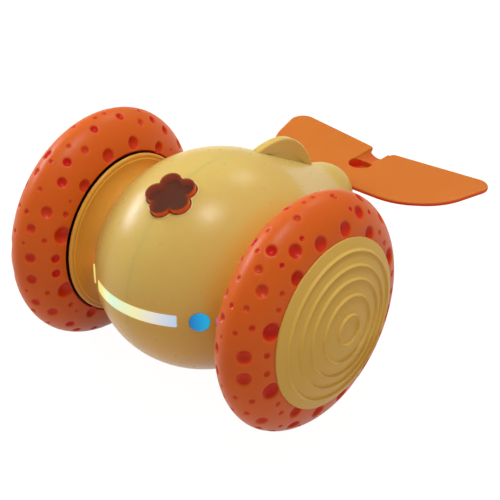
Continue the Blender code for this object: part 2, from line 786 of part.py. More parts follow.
def make_tail():
    """Tail paddle: two drooping lobes, a tongue for the nub, and the lure hole in its boss."""
    material = make_material("tail_paddle_rubber", (0.75, 0.20, 0.04), 0.45)
    tail = make_piece("tail_paddle", tail_mesh(), AXLE, material)
    droop = TAIL_DROOP_SLOPE * (LURE_HOLE_RADIUS + BOSS_WALL)
    boss_top = TAIL_TOP - droop - TAIL_THICKNESS / 2
    hole_floor = TAIL_TOP - LURE_HOLE_DEPTH
    boss_bottom = hole_floor - BOSS_FLOOR
    boss = make_cutter("lure_boss", plate_mesh(boss_outline(), boss_top - boss_bottom), AXLE,
                       (0.0, 0.0, (boss_top + boss_bottom) / 2))
    hole = make_cutter("lure_hole", cylinder_mesh(LURE_HOLE_RADIUS, hole_floor, TAIL_TOP + OVERRUN),
                       AXLE, (0.0, lure_hole_centre(), 0.0))
    channel = make_cutter("lure_channel", channel_mesh(), AXLE)
    add_boolean(tail, "UNION", boss)
    add_boolean(tail, "DIFFERENCE", hole)
    add_boolean(tail, "DIFFERENCE", channel)
    add_bevel(tail, TAIL_EDGE, 1)


def tyre_profile():
    """Section of the tyre, a round-shouldered superellipse over a straight bore."""
    lift = TYRE_RADIUS - shoulder_radius()
    power = 2 / TYRE_ROUNDNESS
    start = math.asin(((bore_radius() + TYRE_MOUTH_CHAMFER - shoulder_radius()) / lift)
                      ** (1 / power))
    points = []
    for step in range(TYRE_SECTION_STEPS + 1):
        angle = start + (math.pi - 2 * start) * step / TYRE_SECTION_STEPS
        cosine = math.cos(angle)
        across = math.copysign(abs(cosine) ** power, cosine) * TYRE_HALF_WIDTH
        points.append((shoulder_radius() + lift * math.sin(angle) ** power, across))
    side = points[0][1] - TYRE_MOUTH_CHAMFER
    return points + [(bore_radius(), -side), (bore_radius(), side)]


def rim_profile():
    """Section of the rim: hub, web and the band under the tyre."""
    outer = bore_radius() - CLEARANCE
    inner = outer - RIM_WALL
    band_out = cap_edge_height() - CAP_THICKNESS - CLEARANCE
    band_in = RIM_INSET - TYRE_HALF_WIDTH
    bore = SHAFT_RADIUS + CLEARANCE
    web = RIM_WALL / 2
    return [(bore, HUB_HALF_LENGTH), (HUB_RADIUS, HUB_HALF_LENGTH), (HUB_RADIUS, web),
            (inner, web), (inner, band_out), (outer, band_out), (outer, band_in),
            (inner, band_in), (inner, -web), (HUB_RADIUS, -web), (HUB_RADIUS, -HUB_HALF_LENGTH),
            (bore, -HUB_HALF_LENGTH)]


def cap_edge_height():
    """Distance of the cap's edge from the wheel's middle plane."""
    lift = TYRE_RADIUS - shoulder_radius()
    off = (bore_radius() - shoulder_radius()) / lift
    return TYRE_HALF_WIDTH * (1.0 - off ** TYRE_ROUNDNESS) ** (1 / TYRE_ROUNDNESS)


def cap_profile():
    """Section of the wheel cap: a low dome with five ring beads and a snap-in skirt."""
    edge = bore_radius() - CLEARANCE
    base = cap_edge_height()

    def dome(radius, lift=0.0):
        return radius, base + CAP_RISE * (1.0 - (radius / edge) ** 2) + lift

    points = [dome(0.0)]
    for share in BEAD_RADIUS_SHARES:
        middle = share * edge
        points.append(dome(middle - BEAD_WIDTH / 2))
        points.append(dome(middle, BEAD_HEIGHT))
        points.append(dome(middle + BEAD_WIDTH / 2))
    points.append(dome(edge))
    skirt_outer = edge - RIM_WALL - CLEARANCE
    skirt_inner = skirt_outer - CAP_THICKNESS
    under = base - CAP_THICKNESS
    points.extend([(edge, under), (skirt_outer, under), (skirt_outer, under - CAP_SKIRT),
                   (skirt_inner, under - CAP_SKIRT), (skirt_inner, under)])
    for share in (BEAD_RADIUS_SHARES[3], BEAD_RADIUS_SHARES[1], 0.0):
        points.append(dome(share * edge, -CAP_THICKNESS))
    return points


def make_wheel(side, word):
    """Tyre, rim, cap and output shaft of one wheel, on an empty at the wheel's centre."""
    hub = make_empty(word + "_wheel_axis", (side * wheel_offset(), 0.0, 0.0), parent=AXLE)
    rubber = make_material(word + "_tyre_rubber", (0.55, 0.10, 0.02), 0.4)
    amber = make_material(word + "_cap_plastic", (0.50, 0.29, 0.07), 0.4)
    black = make_material(word + "_rim_plastic", (0.05, 0.04, 0.04), 0.6)
    steel = make_material(word + "_shaft_steel", (0.55, 0.55, 0.57), 0.3, 1.0)
    make_piece(word + "_tyre", along_x(turned_mesh(tyre_profile(), TYRE_STEPS, True), side),
               hub, rubber)
    make_piece(word + "_rim", along_x(turned_mesh(rim_profile(), RIM_STEPS, True), side),
               hub, black)
    make_piece(word + "_wheel_cap", along_x(turned_mesh(cap_profile(), CAP_STEPS), side),
               hub, amber)
    start = gearbox_end() - SHAFT_SEAT + CLEARANCE - wheel_offset()
    make_piece(word + "_output_shaft",
               along_x(cylinder_mesh(SHAFT_RADIUS, start, HUB_HALF_LENGTH), side), hub, steel)


def gearbox_end():
    """Distance of the gearbox's outer face from the middle plane."""
    return flange_offset() - WALL - BUSH_FLANGE - 2 * CLEARANCE


def make_drive(side, word):
    """Motor, gearbox and bush of one side, all fixed in the body."""
    silver = make_material(word + "_motor_steel", (0.6, 0.6, 0.62), 0.3, 1.0)
    brass = make_material(word + "_gearbox_brass", (0.65, 0.48, 0.2), 0.35, 1.0)
    bronze = make_material(word + "_bush_bronze", (0.55, 0.35, 0.15), 0.4, 1.0)
    outer = gearbox_end()
    inner = outer - GEARBOX_LENGTH
    case = rounded_rectangle(MOTOR_HEIGHT, MOTOR_WIDTH, GEARBOX_CORNER)
    gearbox = make_piece(word + "_gearbox", along_x(plate_mesh(case, GEARBOX_LENGTH)), AXLE, brass,
                         (side * (inner + outer) / 2, 0.0, 0.0))
    seat = along_x(cylinder_mesh(SHAFT_RADIUS + CLEARANCE, outer - SHAFT_SEAT, outer + OVERRUN),
                   side)
    add_boolean(gearbox, "DIFFERENCE", make_cutter(word + "_shaft_seat", seat, AXLE))
    motor_end = inner - CLEARANCE
    motor_length = motor_end - MOTOR_SPACING / 2
    can = rounded_rectangle(MOTOR_HEIGHT, MOTOR_WIDTH, MOTOR_CORNER)
    make_piece(word + "_motor", along_x(plate_mesh(can, motor_length)), AXLE, silver,
               (side * (motor_end - motor_length / 2), 0.0, 0.0))
    wall_in = flange_offset() - WALL
    flange_in = wall_in - BUSH_FLANGE - CLEARANCE
    bore = SHAFT_RADIUS + CLEARANCE
    profile = [(bore, flange_offset()), (bush_outer_radius(), flange_offset()),
               (bush_outer_radius(), wall_in - CLEARANCE),
               (BUSH_FLANGE_RADIUS, wall_in - CLEARANCE), (BUSH_FLANGE_RADIUS, flange_in),
               (bore, flange_in)]
    make_piece(word + "_bush", along_x(turned_mesh(profile, SMALL_STEPS, True), side), AXLE, bronze)


def plate_top():
    """Height of the chassis plate's top face, just under the motors."""
    return -MOTOR_HEIGHT / 2 - CLEARANCE


def make_chassis(board_hollow):
    """Inner frame: a plate trimmed to the shell, motor walls, battery rails and board posts."""
    top = plate_top()
    bottom = top - PLATE_THICKNESS
    material = make_material("chassis_plastic", (0.75, 0.75, 0.72), 0.55)
    length = PLATE_FRONT + PLATE_REAR
    chassis = make_piece(
        "chassis",
        box_mesh((2 * PLATE_HALF_WIDTH, length, PLATE_THICKNESS),
                 (0.0, (PLATE_REAR - PLATE_FRONT) / 2, (top + bottom) / 2)),
        AXLE, material)
    joint = PLATE_THICKNESS / 2
    wall_bottom = top - joint
    wall_top = MOTOR_HEIGHT / 2
    wall_y = MOTOR_WIDTH / 2 + CLEARANCE + SADDLE_WALL / 2
    rail_top = bottom + joint
    rail_bottom = battery_top() - BATTERY_SIZE[2]
    rail_x = BATTERY_SIZE[0] / 2 + CLEARANCE + RAIL_THICKNESS / 2
    post_bottom = charge_board_top() + CLEARANCE
    post_front = led_board_place() + LED_BOARD_SIZE[1] / 2 + CLEARANCE
    ribs = []
    for side in (1, -1):
        ribs.append(((2 * SADDLE_HALF_LENGTH, SADDLE_WALL, wall_top - wall_bottom),
                     (0.0, side * wall_y, (wall_top + wall_bottom) / 2)))
        ribs.append(((RAIL_THICKNESS, 2 * RAIL_HALF_LENGTH, rail_top - rail_bottom),
                     (side * rail_x, BATTERY_SETBACK, (rail_top + rail_bottom) / 2)))
        ribs.append(((CHARGE_POST_WIDTH, CHARGE_POST_WIDTH, rail_top - post_bottom),
                     (side * CHARGE_POST_SPACING / 2, socket_place() + CHARGE_POST_WIDTH,
                      (rail_top + post_bottom) / 2)))
    ribs.append(((LED_POST_SIZE[0], LED_POST_SIZE[1], LED_POST_SIZE[2] + joint),
                 (0.0, post_front + LED_POST_SIZE[1] / 2,
                  wall_bottom + (LED_POST_SIZE[2] + joint) / 2)))
    for index, (size, centre) in enumerate(ribs):
        rib = make_cutter("chassis_rib_%d" % index, box_mesh(size, centre), AXLE)
        add_boolean(chassis, "UNION", rib)
    add_boolean(chassis, "INTERSECT", board_hollow)


def make_bridge():
    """Strap over both motors, seated on the chassis walls."""
    material = make_material("motor_bridge_plastic", (0.70, 0.70, 0.68), 0.55)
    width = MOTOR_WIDTH + 2 * (CLEARANCE + SADDLE_WALL)
    bottom = MOTOR_HEIGHT / 2 + CLEARANCE
    bridge = make_piece("motor_bridge",
                        box_mesh((2 * SADDLE_HALF_LENGTH, width, BRIDGE_THICKNESS)), AXLE,
                        material, (0.0, 0.0, bottom + BRIDGE_THICKNESS / 2))
    add_bevel(bridge, CLEARANCE, 1)


def battery_top():
    """Height of the battery's top face, just under the chassis plate."""
    return plate_top() - PLATE_THICKNESS - CLEARANCE


def make_battery(board_hollow):
    """Rechargeable cell between the rails, and a steel weight ahead of it in the ball's front."""
    grey = make_material("battery_case", (0.55, 0.56, 0.58), 0.4, 1.0)
    battery = make_piece("battery", box_mesh(BATTERY_SIZE), AXLE, grey,
                         (0.0, BATTERY_SETBACK, battery_top() - BATTERY_SIZE[2] / 2))
    add_bevel(battery, BATTERY_CORNER, 2)
    steel = make_material("counterweight_steel", (0.45, 0.45, 0.46), 0.35, 1.0)
    size = (2 * WEIGHT_HALF_WIDTH, BALL_HALF_LENGTH, BALL_HALF_HEIGHT)
    rear = BATTERY_SETBACK - BATTERY_SIZE[1] / 2 - WEIGHT_GAP
    centre = (0.0, rear - size[1] / 2, battery_top() - size[2] / 2)
    weight = make_piece("counterweight", box_mesh(size, centre), AXLE, steel)
    add_boolean(weight, "INTERSECT", board_hollow)


def led_board_place():
    """Distance of the lamp board's middle behind the axle; it stands behind the front wall."""
    return BALL_SETBACK - BALL_HALF_LENGTH + WALL + LED_BOARD_GAP + LED_BOARD_SIZE[1] / 2


def make_led_board(board_hollow):
    """Board of lamps behind the light strip, trimmed to the shell."""
    material = make_material("led_board_laminate", (0.75, 0.76, 0.72), 0.5)
    board = make_piece("led_board", box_mesh(LED_BOARD_SIZE), AXLE, material,
                       (0.0, led_board_place(), 0.0))
    add_boolean(board, "INTERSECT", board_hollow)


def charge_board_top():
    """Height of the charging board's top face."""
    return socket_bottom() + SOCKET_SIZE[2] + CLEARANCE + CHARGE_BOARD_SIZE[2]


def make_charging():
    """Charging socket in the underside with the small board that carries it."""
    green = make_material("charge_board_laminate", (0.02, 0.17, 0.07), 0.5)
    thickness = CHARGE_BOARD_SIZE[2]
    make_piece("charge_board", box_mesh(CHARGE_BOARD_SIZE), AXLE, green,
               (0.0, socket_place(), charge_board_top() - thickness / 2))
    steel = make_material("usb_socket_steel", (0.6, 0.6, 0.62), 0.3, 1.0)
    width, height, depth = SOCKET_SIZE
    shell = rounded_rectangle(width, height, SOCKET_CORNER)
    socket = make_piece("usb_socket", plate_mesh(shell, depth), AXLE, steel,
                        (0.0, socket_place(), socket_bottom() + depth / 2))
    mouth = rounded_rectangle(width - 2 * SOCKET_WALL, height - 2 * SOCKET_WALL,
                              SOCKET_CORNER - SOCKET_WALL)
    cutter = make_cutter("socket_mouth", plate_mesh(mouth, depth), AXLE,
                         (0.0, socket_place(), socket_bottom() - SOCKET_WALL))
    add_boolean(socket, "DIFFERENCE", cutter)


def build_toy():
    """Make every sub-part of the toy."""
    hollow = make_hollow("hollow", WALL)
    board_hollow = make_hollow("board_hollow", WALL + CLEARANCE)
    make_shells(hollow)
    make_lights(hollow)
    make_button()
    make_main_board(board_hollow)
    make_fin()
    make_tail()
    make_chassis(board_hollow)
    make_bridge()
    make_battery(board_hollow)
    make_led_board(board_hollow)
    make_charging()
    for side, word in ((1, "right"), (-1, "left")):
        make_drive(side, word)
        make_wheel(side, word)


build_toy()
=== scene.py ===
"""Visual dress of the automatic cat toy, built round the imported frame.

Lengths are metres. Shapes are drawn in the toy's own frame, with the origin on the wheel axis:
+X is the toy's right, +Y runs to the tail and +Z is up. AXLE moves them into the frame's place.
"""
import math

import bmesh
import bpy
from mathutils import Matrix, Vector
from mathutils.kdtree import KDTree


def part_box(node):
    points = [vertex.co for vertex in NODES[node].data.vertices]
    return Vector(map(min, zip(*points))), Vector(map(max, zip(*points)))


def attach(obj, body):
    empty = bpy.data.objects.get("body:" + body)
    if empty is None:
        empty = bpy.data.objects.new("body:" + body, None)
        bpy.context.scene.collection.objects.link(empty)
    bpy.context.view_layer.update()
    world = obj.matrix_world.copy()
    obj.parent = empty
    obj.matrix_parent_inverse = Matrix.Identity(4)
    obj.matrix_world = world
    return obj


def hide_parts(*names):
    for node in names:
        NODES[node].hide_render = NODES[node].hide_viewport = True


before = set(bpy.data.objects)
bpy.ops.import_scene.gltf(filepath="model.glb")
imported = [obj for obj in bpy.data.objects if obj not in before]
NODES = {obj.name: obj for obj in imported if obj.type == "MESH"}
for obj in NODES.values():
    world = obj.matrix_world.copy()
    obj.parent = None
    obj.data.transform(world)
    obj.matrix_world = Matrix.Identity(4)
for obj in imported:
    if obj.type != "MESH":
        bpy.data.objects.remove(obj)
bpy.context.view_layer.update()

MM = 0.001
WHEEL = (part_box("right_tyre")[0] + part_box("right_tyre")[1]) / 2
AXLE = Vector((0.0, WHEEL.y, WHEEL.z))

# Ball body, cone and tail nub
BALL_WIDTH = 31.9 * MM
BALL_HEIGHT = 31.2 * MM
BALL_LENGTH = 36.4 * MM
BALL_SETBACK = 5.3 * MM
WALL = 2.0 * MM
CONE_SLOPE = 0.57
NUB_CENTRE = 54.1 * MM
NUB_RADIUS = 9.7 * MM
NUB_LENGTH = 10.5 * MM
NUB_BLEND = 1.3 * MM
HOLLOW_END = 45.0 * MM
SEAM = 0.006 * MM  # half the gap between the two halves
SOCKET_GAP = 0.3 * MM
SOCKET_DEPTH = 4.0 * MM

# Necks and flanges
FLANGE_RADIUS = 24.2 * MM
FLANGE_OFFSET = 29.6 * MM
FLANGE_LIP = 1.3 * MM
FLANGE_STEP = 0.6 * MM
STEP_RUN = 0.3 * MM
STEP_DROP = 0.25 * MM
STEP_FLOOR = 0.5 * MM
NECK_RADIUS = 16.2 * MM
NECK_OFFSET = 22.5 * MM
BUSH_SEAT_RADIUS = 3.5 * MM

# Wheels
TYRE_RADIUS = 35.0 * MM
TYRE_HALF_WIDTH = 9.5 * MM
TYRE_SHOULDER = 22.3 * MM
TYRE_BORE = 24.5 * MM
TYRE_ROUNDNESS = 1.85
MOUTH_CHAMFER = 0.35 * MM
# Painted shade: share of deep red painted at the tyre's mouths and in its bore
MOUTH_PAINTED_SHADE = 0.6
BORE_PAINTED_SHADE = 0.8
RIM_WALL = 1.6 * MM
RIM_INSET = 2.2 * MM
HUB_RADIUS = 4.0 * MM
HUB_HALF_LENGTH = 6.2 * MM
SHAFT_BORE = 1.8 * MM
RIM_RADIUS = 24.2 * MM
CAP_EDGE = 24.9 * MM
CAP_EDGE_HEIGHT = 9.7 * MM
RIM_END = 7.597 * MM
CAP_RISE = 4.7 * MM
CAP_THICKNESS = 1.4 * MM
BEAD_RADII = (4.4 * MM, 9.9 * MM, 14.2 * MM, 17.8 * MM, 21.7 * MM)
BEAD_HALF_WIDTH = 0.55 * MM
BEAD_HEIGHT = 0.68 * MM
CAP_LIP = 0.6 * MM
CAP_GAP = 0.3 * MM
SKIRT_DEPTH = 2.0 * MM

# Lights
LIGHT_LIFT = -0.3 * MM
STRIP_HALF_ANGLE = math.radians(27.6)
STRIP_HEIGHT = 3.7 * MM
ROUND_RADIUS = 2.8 * MM
INNER_ANGLE = math.radians(38.7)
OUTER_ANGLE = math.radians(51.0)

# Flower button
BUTTON_ANGLE = math.radians(61.5)
PETAL_COUNT = 5
PETAL_RADIUS = 3.2 * MM
PETAL_CENTRE = 4.2 * MM
BUTTON_TOP = 1.4 * MM
BUTTON_FLOOR = -1.7 * MM
BUTTON_FOOT = -4.5 * MM
BUTTON_WALL = 0.45 * MM
LID_THICKNESS = 0.5 * MM
# Stop disc and stem as (radius, height), and the rim bead as (margin, height), in millimetres
STOP_PROFILE = ((0.0, -3.7), (8.4, -3.7), (8.4, -4.5), (1.4, -4.5), (1.4, -6.7), (0.0, -6.7))
RIM_SECTION = ((0.27, -0.6), (0.27, 0.06), (0.33, 0.14), (0.45, 0.18), (0.58, 0.14), (0.66, 0.04),
               (0.7, -0.6))

# Dorsal fin
FIN_START = 24.0 * MM
FIN_CHORD = 28.4 * MM
FIN_HEIGHT = 6.2 * MM
FIN_THICKNESS = 2.6 * MM
FIN_ROOT = 1.2 * MM
FIN_PEAK = 0.5
FIN_FRONT_POWER = 0.85
FIN_REAR_POWER = 0.78

# Tail
TAIL_TOP = 2.5 * MM
TAIL_THICKNESS = 1.3 * MM
TAIL_DROOP = 0.034
TAIL_FRONT = 61.2 * MM
TAIL_REAR = 93.1 * MM
TAIL_SPAN = 39.6 * MM
TONGUE_HALF_WIDTH = 4.0 * MM
TONGUE_LENGTH = 10.0 * MM
NOTCH_DEPTH = 0.79  # of the tail's length
BOSS_RADIUS = 5.7 * MM
HOLE_CENTRE = 75.1 * MM
HOLE_RADIUS = 3.75 * MM
HOLE_DEPTH = 3.6 * MM
HOLE_SIDE = -0.4 * MM
CHANNEL_HALF_WIDTH = 3.5 * MM
CHANNEL_START_DEPTH = 1.0 * MM
CHANNEL_DEEPENING = 2.0 * MM

# Windows and lenses in the ball's wall
WINDOW_DEPTH = 3.2 * MM
WINDOW_COVER = 0.4 * MM  # how far a cutter stands over the skin
LENS_DEPTH = 1.9 * MM

# Dimples in the upper front quarter of a tyre, as (degrees from the rear over the top, place
# across with outward positive, radius, painted shade: the share of deep red painted in its hollow),
# lengths in millimetres. Mirrored into the rest.
DIMPLES = (
    (93, -0.4, 0.8, 0.6), (99, -3.3, 1.35, 0.9), (101, 8.5, 2.4, 0.7), (101, -8.6, 2.2, 0.6),
    (103, 2.2, 1.2, 0.3), (109, 6.0, 0.8, 0.9), (111, -5.6, 1.3, 0.4), (115, -2.0, 0.8, 0.2),
    (116, 6.6, 2.2, 0.8), (122, -4.4, 1.4, 1.0), (123, 2.6, 1.7, 0.9), (126, -0.7, 0.8, 0.5),
    (126, 6.1, 0.8, 1.0), (126, 8.9, 2.3, 0.7), (126, -8.9, 2.0, 0.6), (132, -5.8, 1.6, 0.9),
    (133, 2.3, 1.3, 0.3), (138, 8.2, 0.9, 0.3), (139, -8.4, 0.6, 0.2), (140, -2.0, 0.8, 0.2),
    (141, 5.1, 1.9, 0.4), (147, 8.6, 0.9, 0.2), (147, -8.5, 1.0, 0.4), (149, -5.5, 1.8, 0.5),
    (151, 3.4, 1.0, 0.2), (152, -0.7, 0.9, 0.5), (159, -3.1, 1.5, 0.5), (159, 5.6, 1.0, 0.5),
    (160, 8.6, 2.9, 0.8), (160, -8.8, 2.8, 0.6), (163, 2.3, 0.8, 0.4), (164, -6.4, 0.9, 0.3),
    (167, -1.7, 0.6, 0.2), (174, -3.8, 1.7, 0.6), (174, 5.0, 2.3, 0.5), (174, 8.5, 1.1, 0.4),
    (175, -8.3, 1.5, 0.9),
)
DIMPLE_DEPTH = 0.55  # of its radius
DIMPLE_REACH = 1.35  # of its radius, with the soft edge
DIMPLE_FADE = 0.3
DIMPLE_SOFTNESS = 0.012
# Least share of painted shade in a dimple
LEAST_DIMPLE_SHADE = 0.35

# Grain heights, and texture scales in features per metre
FINE_GRAIN = 0.003 * MM
GRAIN = 0.004 * MM
MOTTLE_SCALE = 90.0
GLOSS_SCALE = 400.0
PLASTIC_GRAIN_SCALE = 3500.0
RUBBER_MOTTLE_SCALE = 60.0
RUBBER_GRAIN_SCALE = 2500.0
TINT_MOTTLE_SCALE = 150.0

# Painted shade on the housing: a deeper, warmer tone for warm bounce light and shadow low on the
# ball and out at the flanges, by heights above the floor and places out to the side
BOUNCE_SHADE_BOTTOM = 4 * MM
BOUNCE_SHADE_TOP = 44 * MM
BOUNCE_SHADE_SHARE = 0.9
BOUNCE_SHADE_SIDE_START = 19 * MM
BOUNCE_SHADE_SIDE_END = 25 * MM

# Floor, world and lamps, these as (name, direction, distance, width, height, watts, colour)
FLOOR_COLOR = (0.64, 0.56, 0.46, 1.0)
FLOOR_GLOW = 1.22
FLOOR_GLOW_SHARE = 0.8
WORLD_COLOR = (1.0, 0.77, 0.56, 1.0)
WORLD_STRENGTH = 0.49
LAMPS = (
    ("side_lamp", (-0.912, -0.084, 0.402), 0.8, 0.36, 0.16, 3.16, (0.78, 0.87, 1.0)),
    ("top_lamp", (0.127, -0.023, 0.992), 0.9, 0.2, 0.2, 3.48, (1.0, 1.0, 1.0)),
    ("rear_lamp", (-0.155, 0.679, 0.717), 0.9, 0.17, 0.17, 0.8, (1.0, 1.0, 1.0)),
)

# Camera round the wheel axis
CAMERA_AZIMUTH = math.radians(40.3946)
CAMERA_ELEVATION = math.radians(30.5583)
CAMERA_DISTANCE = 534.871 * MM
CAMERA_RIGHT = 13.910 * MM
CAMERA_UP = 4.023 * MM
CAMERA_LENS = 134.748


def clamped(value):
    """A value held between 0 and 1."""
    return min(1.0, max(0.0, value))


def mesh_of(points, faces):
    """A mesh with its faces turned outward."""
    mesh = bpy.data.meshes.new("shape")
    mesh.from_pydata(points, [], faces)
    shape = bmesh.new()
    shape.from_mesh(mesh)
    bmesh.ops.recalc_face_normals(shape, faces=shape.faces)
    shape.to_mesh(mesh)
    shape.free()
    return mesh


def lathe(profile, steps, closed=False):
    """Points of (radius, height) turned about local Z; a zero radius makes a pole."""
    points = []
    rings = []
    for radius, height in profile:
        if radius == 0.0:
            rings.append([len(points)] * steps)
            points.append((0.0, 0.0, height))
            continue
        rings.append(list(range(len(points), len(points) + steps)))
        for step in range(steps):
            angle = 2 * math.pi * step / steps
            points.append((radius * math.cos(angle), radius * math.sin(angle), height))
    return mesh_of(points, ring_faces(rings, closed))


def ring_faces(rings, closed=False):
    """Quads, or triangles at a pole, between neighbouring rings."""
    faces = []
    count = len(rings[0])
    pairs = list(zip(rings, rings[1:]))
    if closed:
        pairs.append((rings[-1], rings[0]))
    for low, high in pairs:
        for step in range(count):
            ahead = (step + 1) % count
            corners = [low[step], low[ahead], high[ahead], high[step]]
            face = [corner for index, corner in enumerate(corners)
                    if corner != corners[index - 1]]
            if len(face) > 2:
                faces.append(face)
    return faces


def loft(rings):
    """A closed solid through rings of equally many points, each end closed to its middle."""
    count = len(rings[0])
    first, last = [tuple(sum((Vector(point) for point in ring), Vector()) / count)
                   for ring in (rings[0], rings[-1])]
    points = [first]
    numbered = [[0] * count]
    for ring in rings:
        numbered.append(list(range(len(points), len(points) + count)))
        points.extend(tuple(point) for point in ring)
    numbered.append([len(points)] * count)
    points.append(last)
    return mesh_of(points, ring_faces(numbered))


def combine(mesh, operation, other):
    """The Boolean of two meshes."""
    things = [bpy.data.objects.new("form", form) for form in (mesh, other)]
    for thing in things:
        bpy.context.scene.collection.objects.link(thing)
    modifier = things[0].modifiers.new("boolean", "BOOLEAN")
    modifier.operation = operation
    modifier.object = things[1]
    modifier.solver = "MANIFOLD"
    bpy.context.view_layer.update()
    depsgraph = bpy.context.evaluated_depsgraph_get()
    result = bpy.data.meshes.new_from_object(things[0].evaluated_get(depsgraph))
    for thing in things:
        bpy.data.objects.remove(thing)
    return result


def placed(mesh, place, turn=None):
    """Turn and move a mesh."""
    if turn is not None:
        mesh.transform(turn.to_4x4())
    mesh.transform(Matrix.Translation(Vector(place)))
    return mesh


def box_mesh(low, high):
    """A box between two corners."""
    points = [(x, y, z) for x in (low[0], high[0]) for y in (low[1], high[1])
              for z in (low[2], high[2])]
    faces = [(0, 1, 3, 2), (4, 6, 7, 5), (0, 4, 5, 1), (2, 3, 7, 6), (0, 2, 6, 4), (1, 5, 7, 3)]
    return mesh_of(points, faces)


def piece(name, mesh, body, material, replaced, sharp=35.0):
    """Put a mesh in the scene as a named piece that rides on a body."""
    mesh.transform(Matrix.Translation(AXLE))
    mesh.shade_smooth()
    mesh.set_sharp_from_angle(angle=math.radians(sharp))
    mesh.materials.clear()
    mesh.materials.append(material)
    thing = bpy.data.objects.new(name, mesh)
    bpy.context.scene.collection.objects.link(thing)
    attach(thing, body)
    if replaced:
        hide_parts(*replaced)


def arc(centre, radius, start, sweep, steps):
    """Points along an arc, its ends included."""
    return [(centre[0] + radius * math.cos(start + sweep * step / steps),
             centre[1] + radius * math.sin(start + sweep * step / steps))
            for step in range(steps + 1)]


def fillet(before, corner, after, radius, steps):
    """The arc that rounds a corner between two neighbours."""
    corner = Vector(corner)
    back = (Vector(before) - corner).normalized()
    ahead = (Vector(after) - corner).normalized()
    half = back.angle(ahead) / 2
    centre = corner + (back + ahead).normalized() * (radius / math.sin(half))
    start = corner + back * (radius / math.tan(half)) - centre
    end = corner + ahead * (radius / math.tan(half)) - centre
    sweep = math.atan2(start.x * end.y - start.y * end.x, start.dot(end))
    return arc(centre, radius, math.atan2(start.y, start.x), sweep, steps)


def rounded_outline(corners, steps):
    """A closed outline of (x, y, fillet radius) corners with each corner rounded."""
    outline = []
    for index, (x, y, radius) in enumerate(corners):
        before = corners[index - 1][:2]
        after = corners[(index + 1) % len(corners)][:2]
        if radius == 0.0:
            outline.append((x, y))
        else:
            outline.extend(fillet(before, (x, y), after, radius, steps))
    return outline


def even_line(points, count):
    """An open line with evenly spaced points."""
    line = [Vector(point) for point in points]
    reach = [0.0]
    for start, end in zip(line, line[1:]):
        reach.append(reach[-1] + (end - start).length)
    result = []
    index = 0
    for step in range(count + 1):
        goal = reach[-1] * step / count
        while index < len(line) - 2 and reach[index + 1] < goal:
            index += 1
        span = reach[index + 1] - reach[index]
        share = (goal - reach[index]) / span if span else 0.0
        result.append(tuple(line[index].lerp(line[index + 1], min(1.0, share))))
    return result


def resampled(outline, count):
    """A closed outline with evenly spaced points."""
    return even_line([*outline, outline[0]], count)[:-1]


def grown(outline, margin):
    """An outline moved outward by a margin; it runs anticlockwise."""
    points = []
    for index, point in enumerate(outline):
        before = Vector(outline[index - 1])
        after = Vector(outline[(index + 1) % len(outline)])
        along = (after - before).normalized()
        points.append((point[0] + along.y * margin, point[1] - along.x * margin))
    return points


def drawn_in(outline, steps):
    """Copies of an outline, each drawn in further about the origin."""
    shares = [1 - step / steps for step in range(steps)]
    return [[(x * share, y * share) for x, y in outline] for share in shares]


def round_over(edge, steps):
    """Steps of a rounded edge from the side to the top, as (margin lost, drop below the top)."""
    angles = [math.pi / 2 * step / steps for step in range(steps + 1)]
    return [(edge * (1 - math.cos(angle)), edge * (1 - math.sin(angle))) for angle in angles]


def cone_start(inset):
    """Profile angle, radius and distance behind the axle where the cone leaves the ball."""
    length = BALL_LENGTH - inset
    height = BALL_HEIGHT - inset
    angle = math.pi - math.atan(height / length / CONE_SLOPE)
    return angle, height * math.sin(angle), BALL_SETBACK - length * math.cos(angle)


def cone_radius(distance, inset=0.0):
    """Radius of the cone at a distance behind the axle."""
    _, radius, start = cone_start(inset)
    return radius - CONE_SLOPE * (distance - start)


def ball_arc(inset, steps):
    """Ball profile of (radius, distance behind the axle), from the front pole to the cone."""
    last, _, _ = cone_start(inset)
    points = [(0.0, BALL_SETBACK - BALL_LENGTH + inset)]
    for step in range(1, steps + 1):
        angle = last * step / steps
        points.append(((BALL_HEIGHT - inset) * math.sin(angle),
                       BALL_SETBACK - (BALL_LENGTH - inset) * math.cos(angle)))
    return points


def body_profile():
    """Outer profile of the ball, the cone and the tail nub."""
    points = ball_arc(0.0, 90)
    _, _, distance = cone_start(0.0)
    cone_steps = 50
    for step in range(1, cone_steps + 1):
        along = distance + (NUB_CENTRE - distance) * step / cone_steps
        nub = NUB_RADIUS * math.sqrt(max(0.0, 1 - ((along - NUB_CENTRE) / NUB_LENGTH) ** 2))
        points.append((max(cone_radius(along), nub) + nub_blend(cone_radius(along) - nub), along))
    nub_steps = 24
    for step in range(1, nub_steps):
        angle = math.pi / 2 * step / nub_steps
        nub = NUB_RADIUS * math.cos(angle)
        along = NUB_CENTRE + NUB_LENGTH * math.sin(angle)
        fade = (1 - math.sin(angle)) ** 2
        points.append((nub + nub_blend(cone_radius(along) - nub) * fade, along))
    points.append((0.0, NUB_CENTRE + NUB_LENGTH))
    return points


def nub_blend(apart):
    """Rise over the larger of the cone and the nub that blends the two."""
    return (math.hypot(apart, NUB_BLEND) - abs(apart)) / 2


def hollow_profile():
    """Profile of the space inside the walls."""
    points = ball_arc(WALL, 40)
    points.append((cone_radius(HOLLOW_END, WALL * math.hypot(1.0, CONE_SLOPE)), HOLLOW_END))
    points.append((0.0, HOLLOW_END))
    return points


def body_form(profile, steps):
    """A body profile turned about the fore-and-aft axis and widened to the ball's width."""
    mesh = lathe([(radius, -distance) for radius, distance in profile], steps)
    widen = Matrix.Diagonal((BALL_WIDTH / BALL_HEIGHT, 1.0, 1.0, 1.0))
    mesh.transform(widen @ Matrix.Rotation(math.pi / 2, 4, "X"))
    return mesh


def along_x(mesh, side=1):
    """Turn a mesh so that its local Z runs to the toy's right, or to its left for side -1."""
    mesh.transform(Matrix.Rotation(side * math.pi / 2, 4, "Y"))
    return mesh


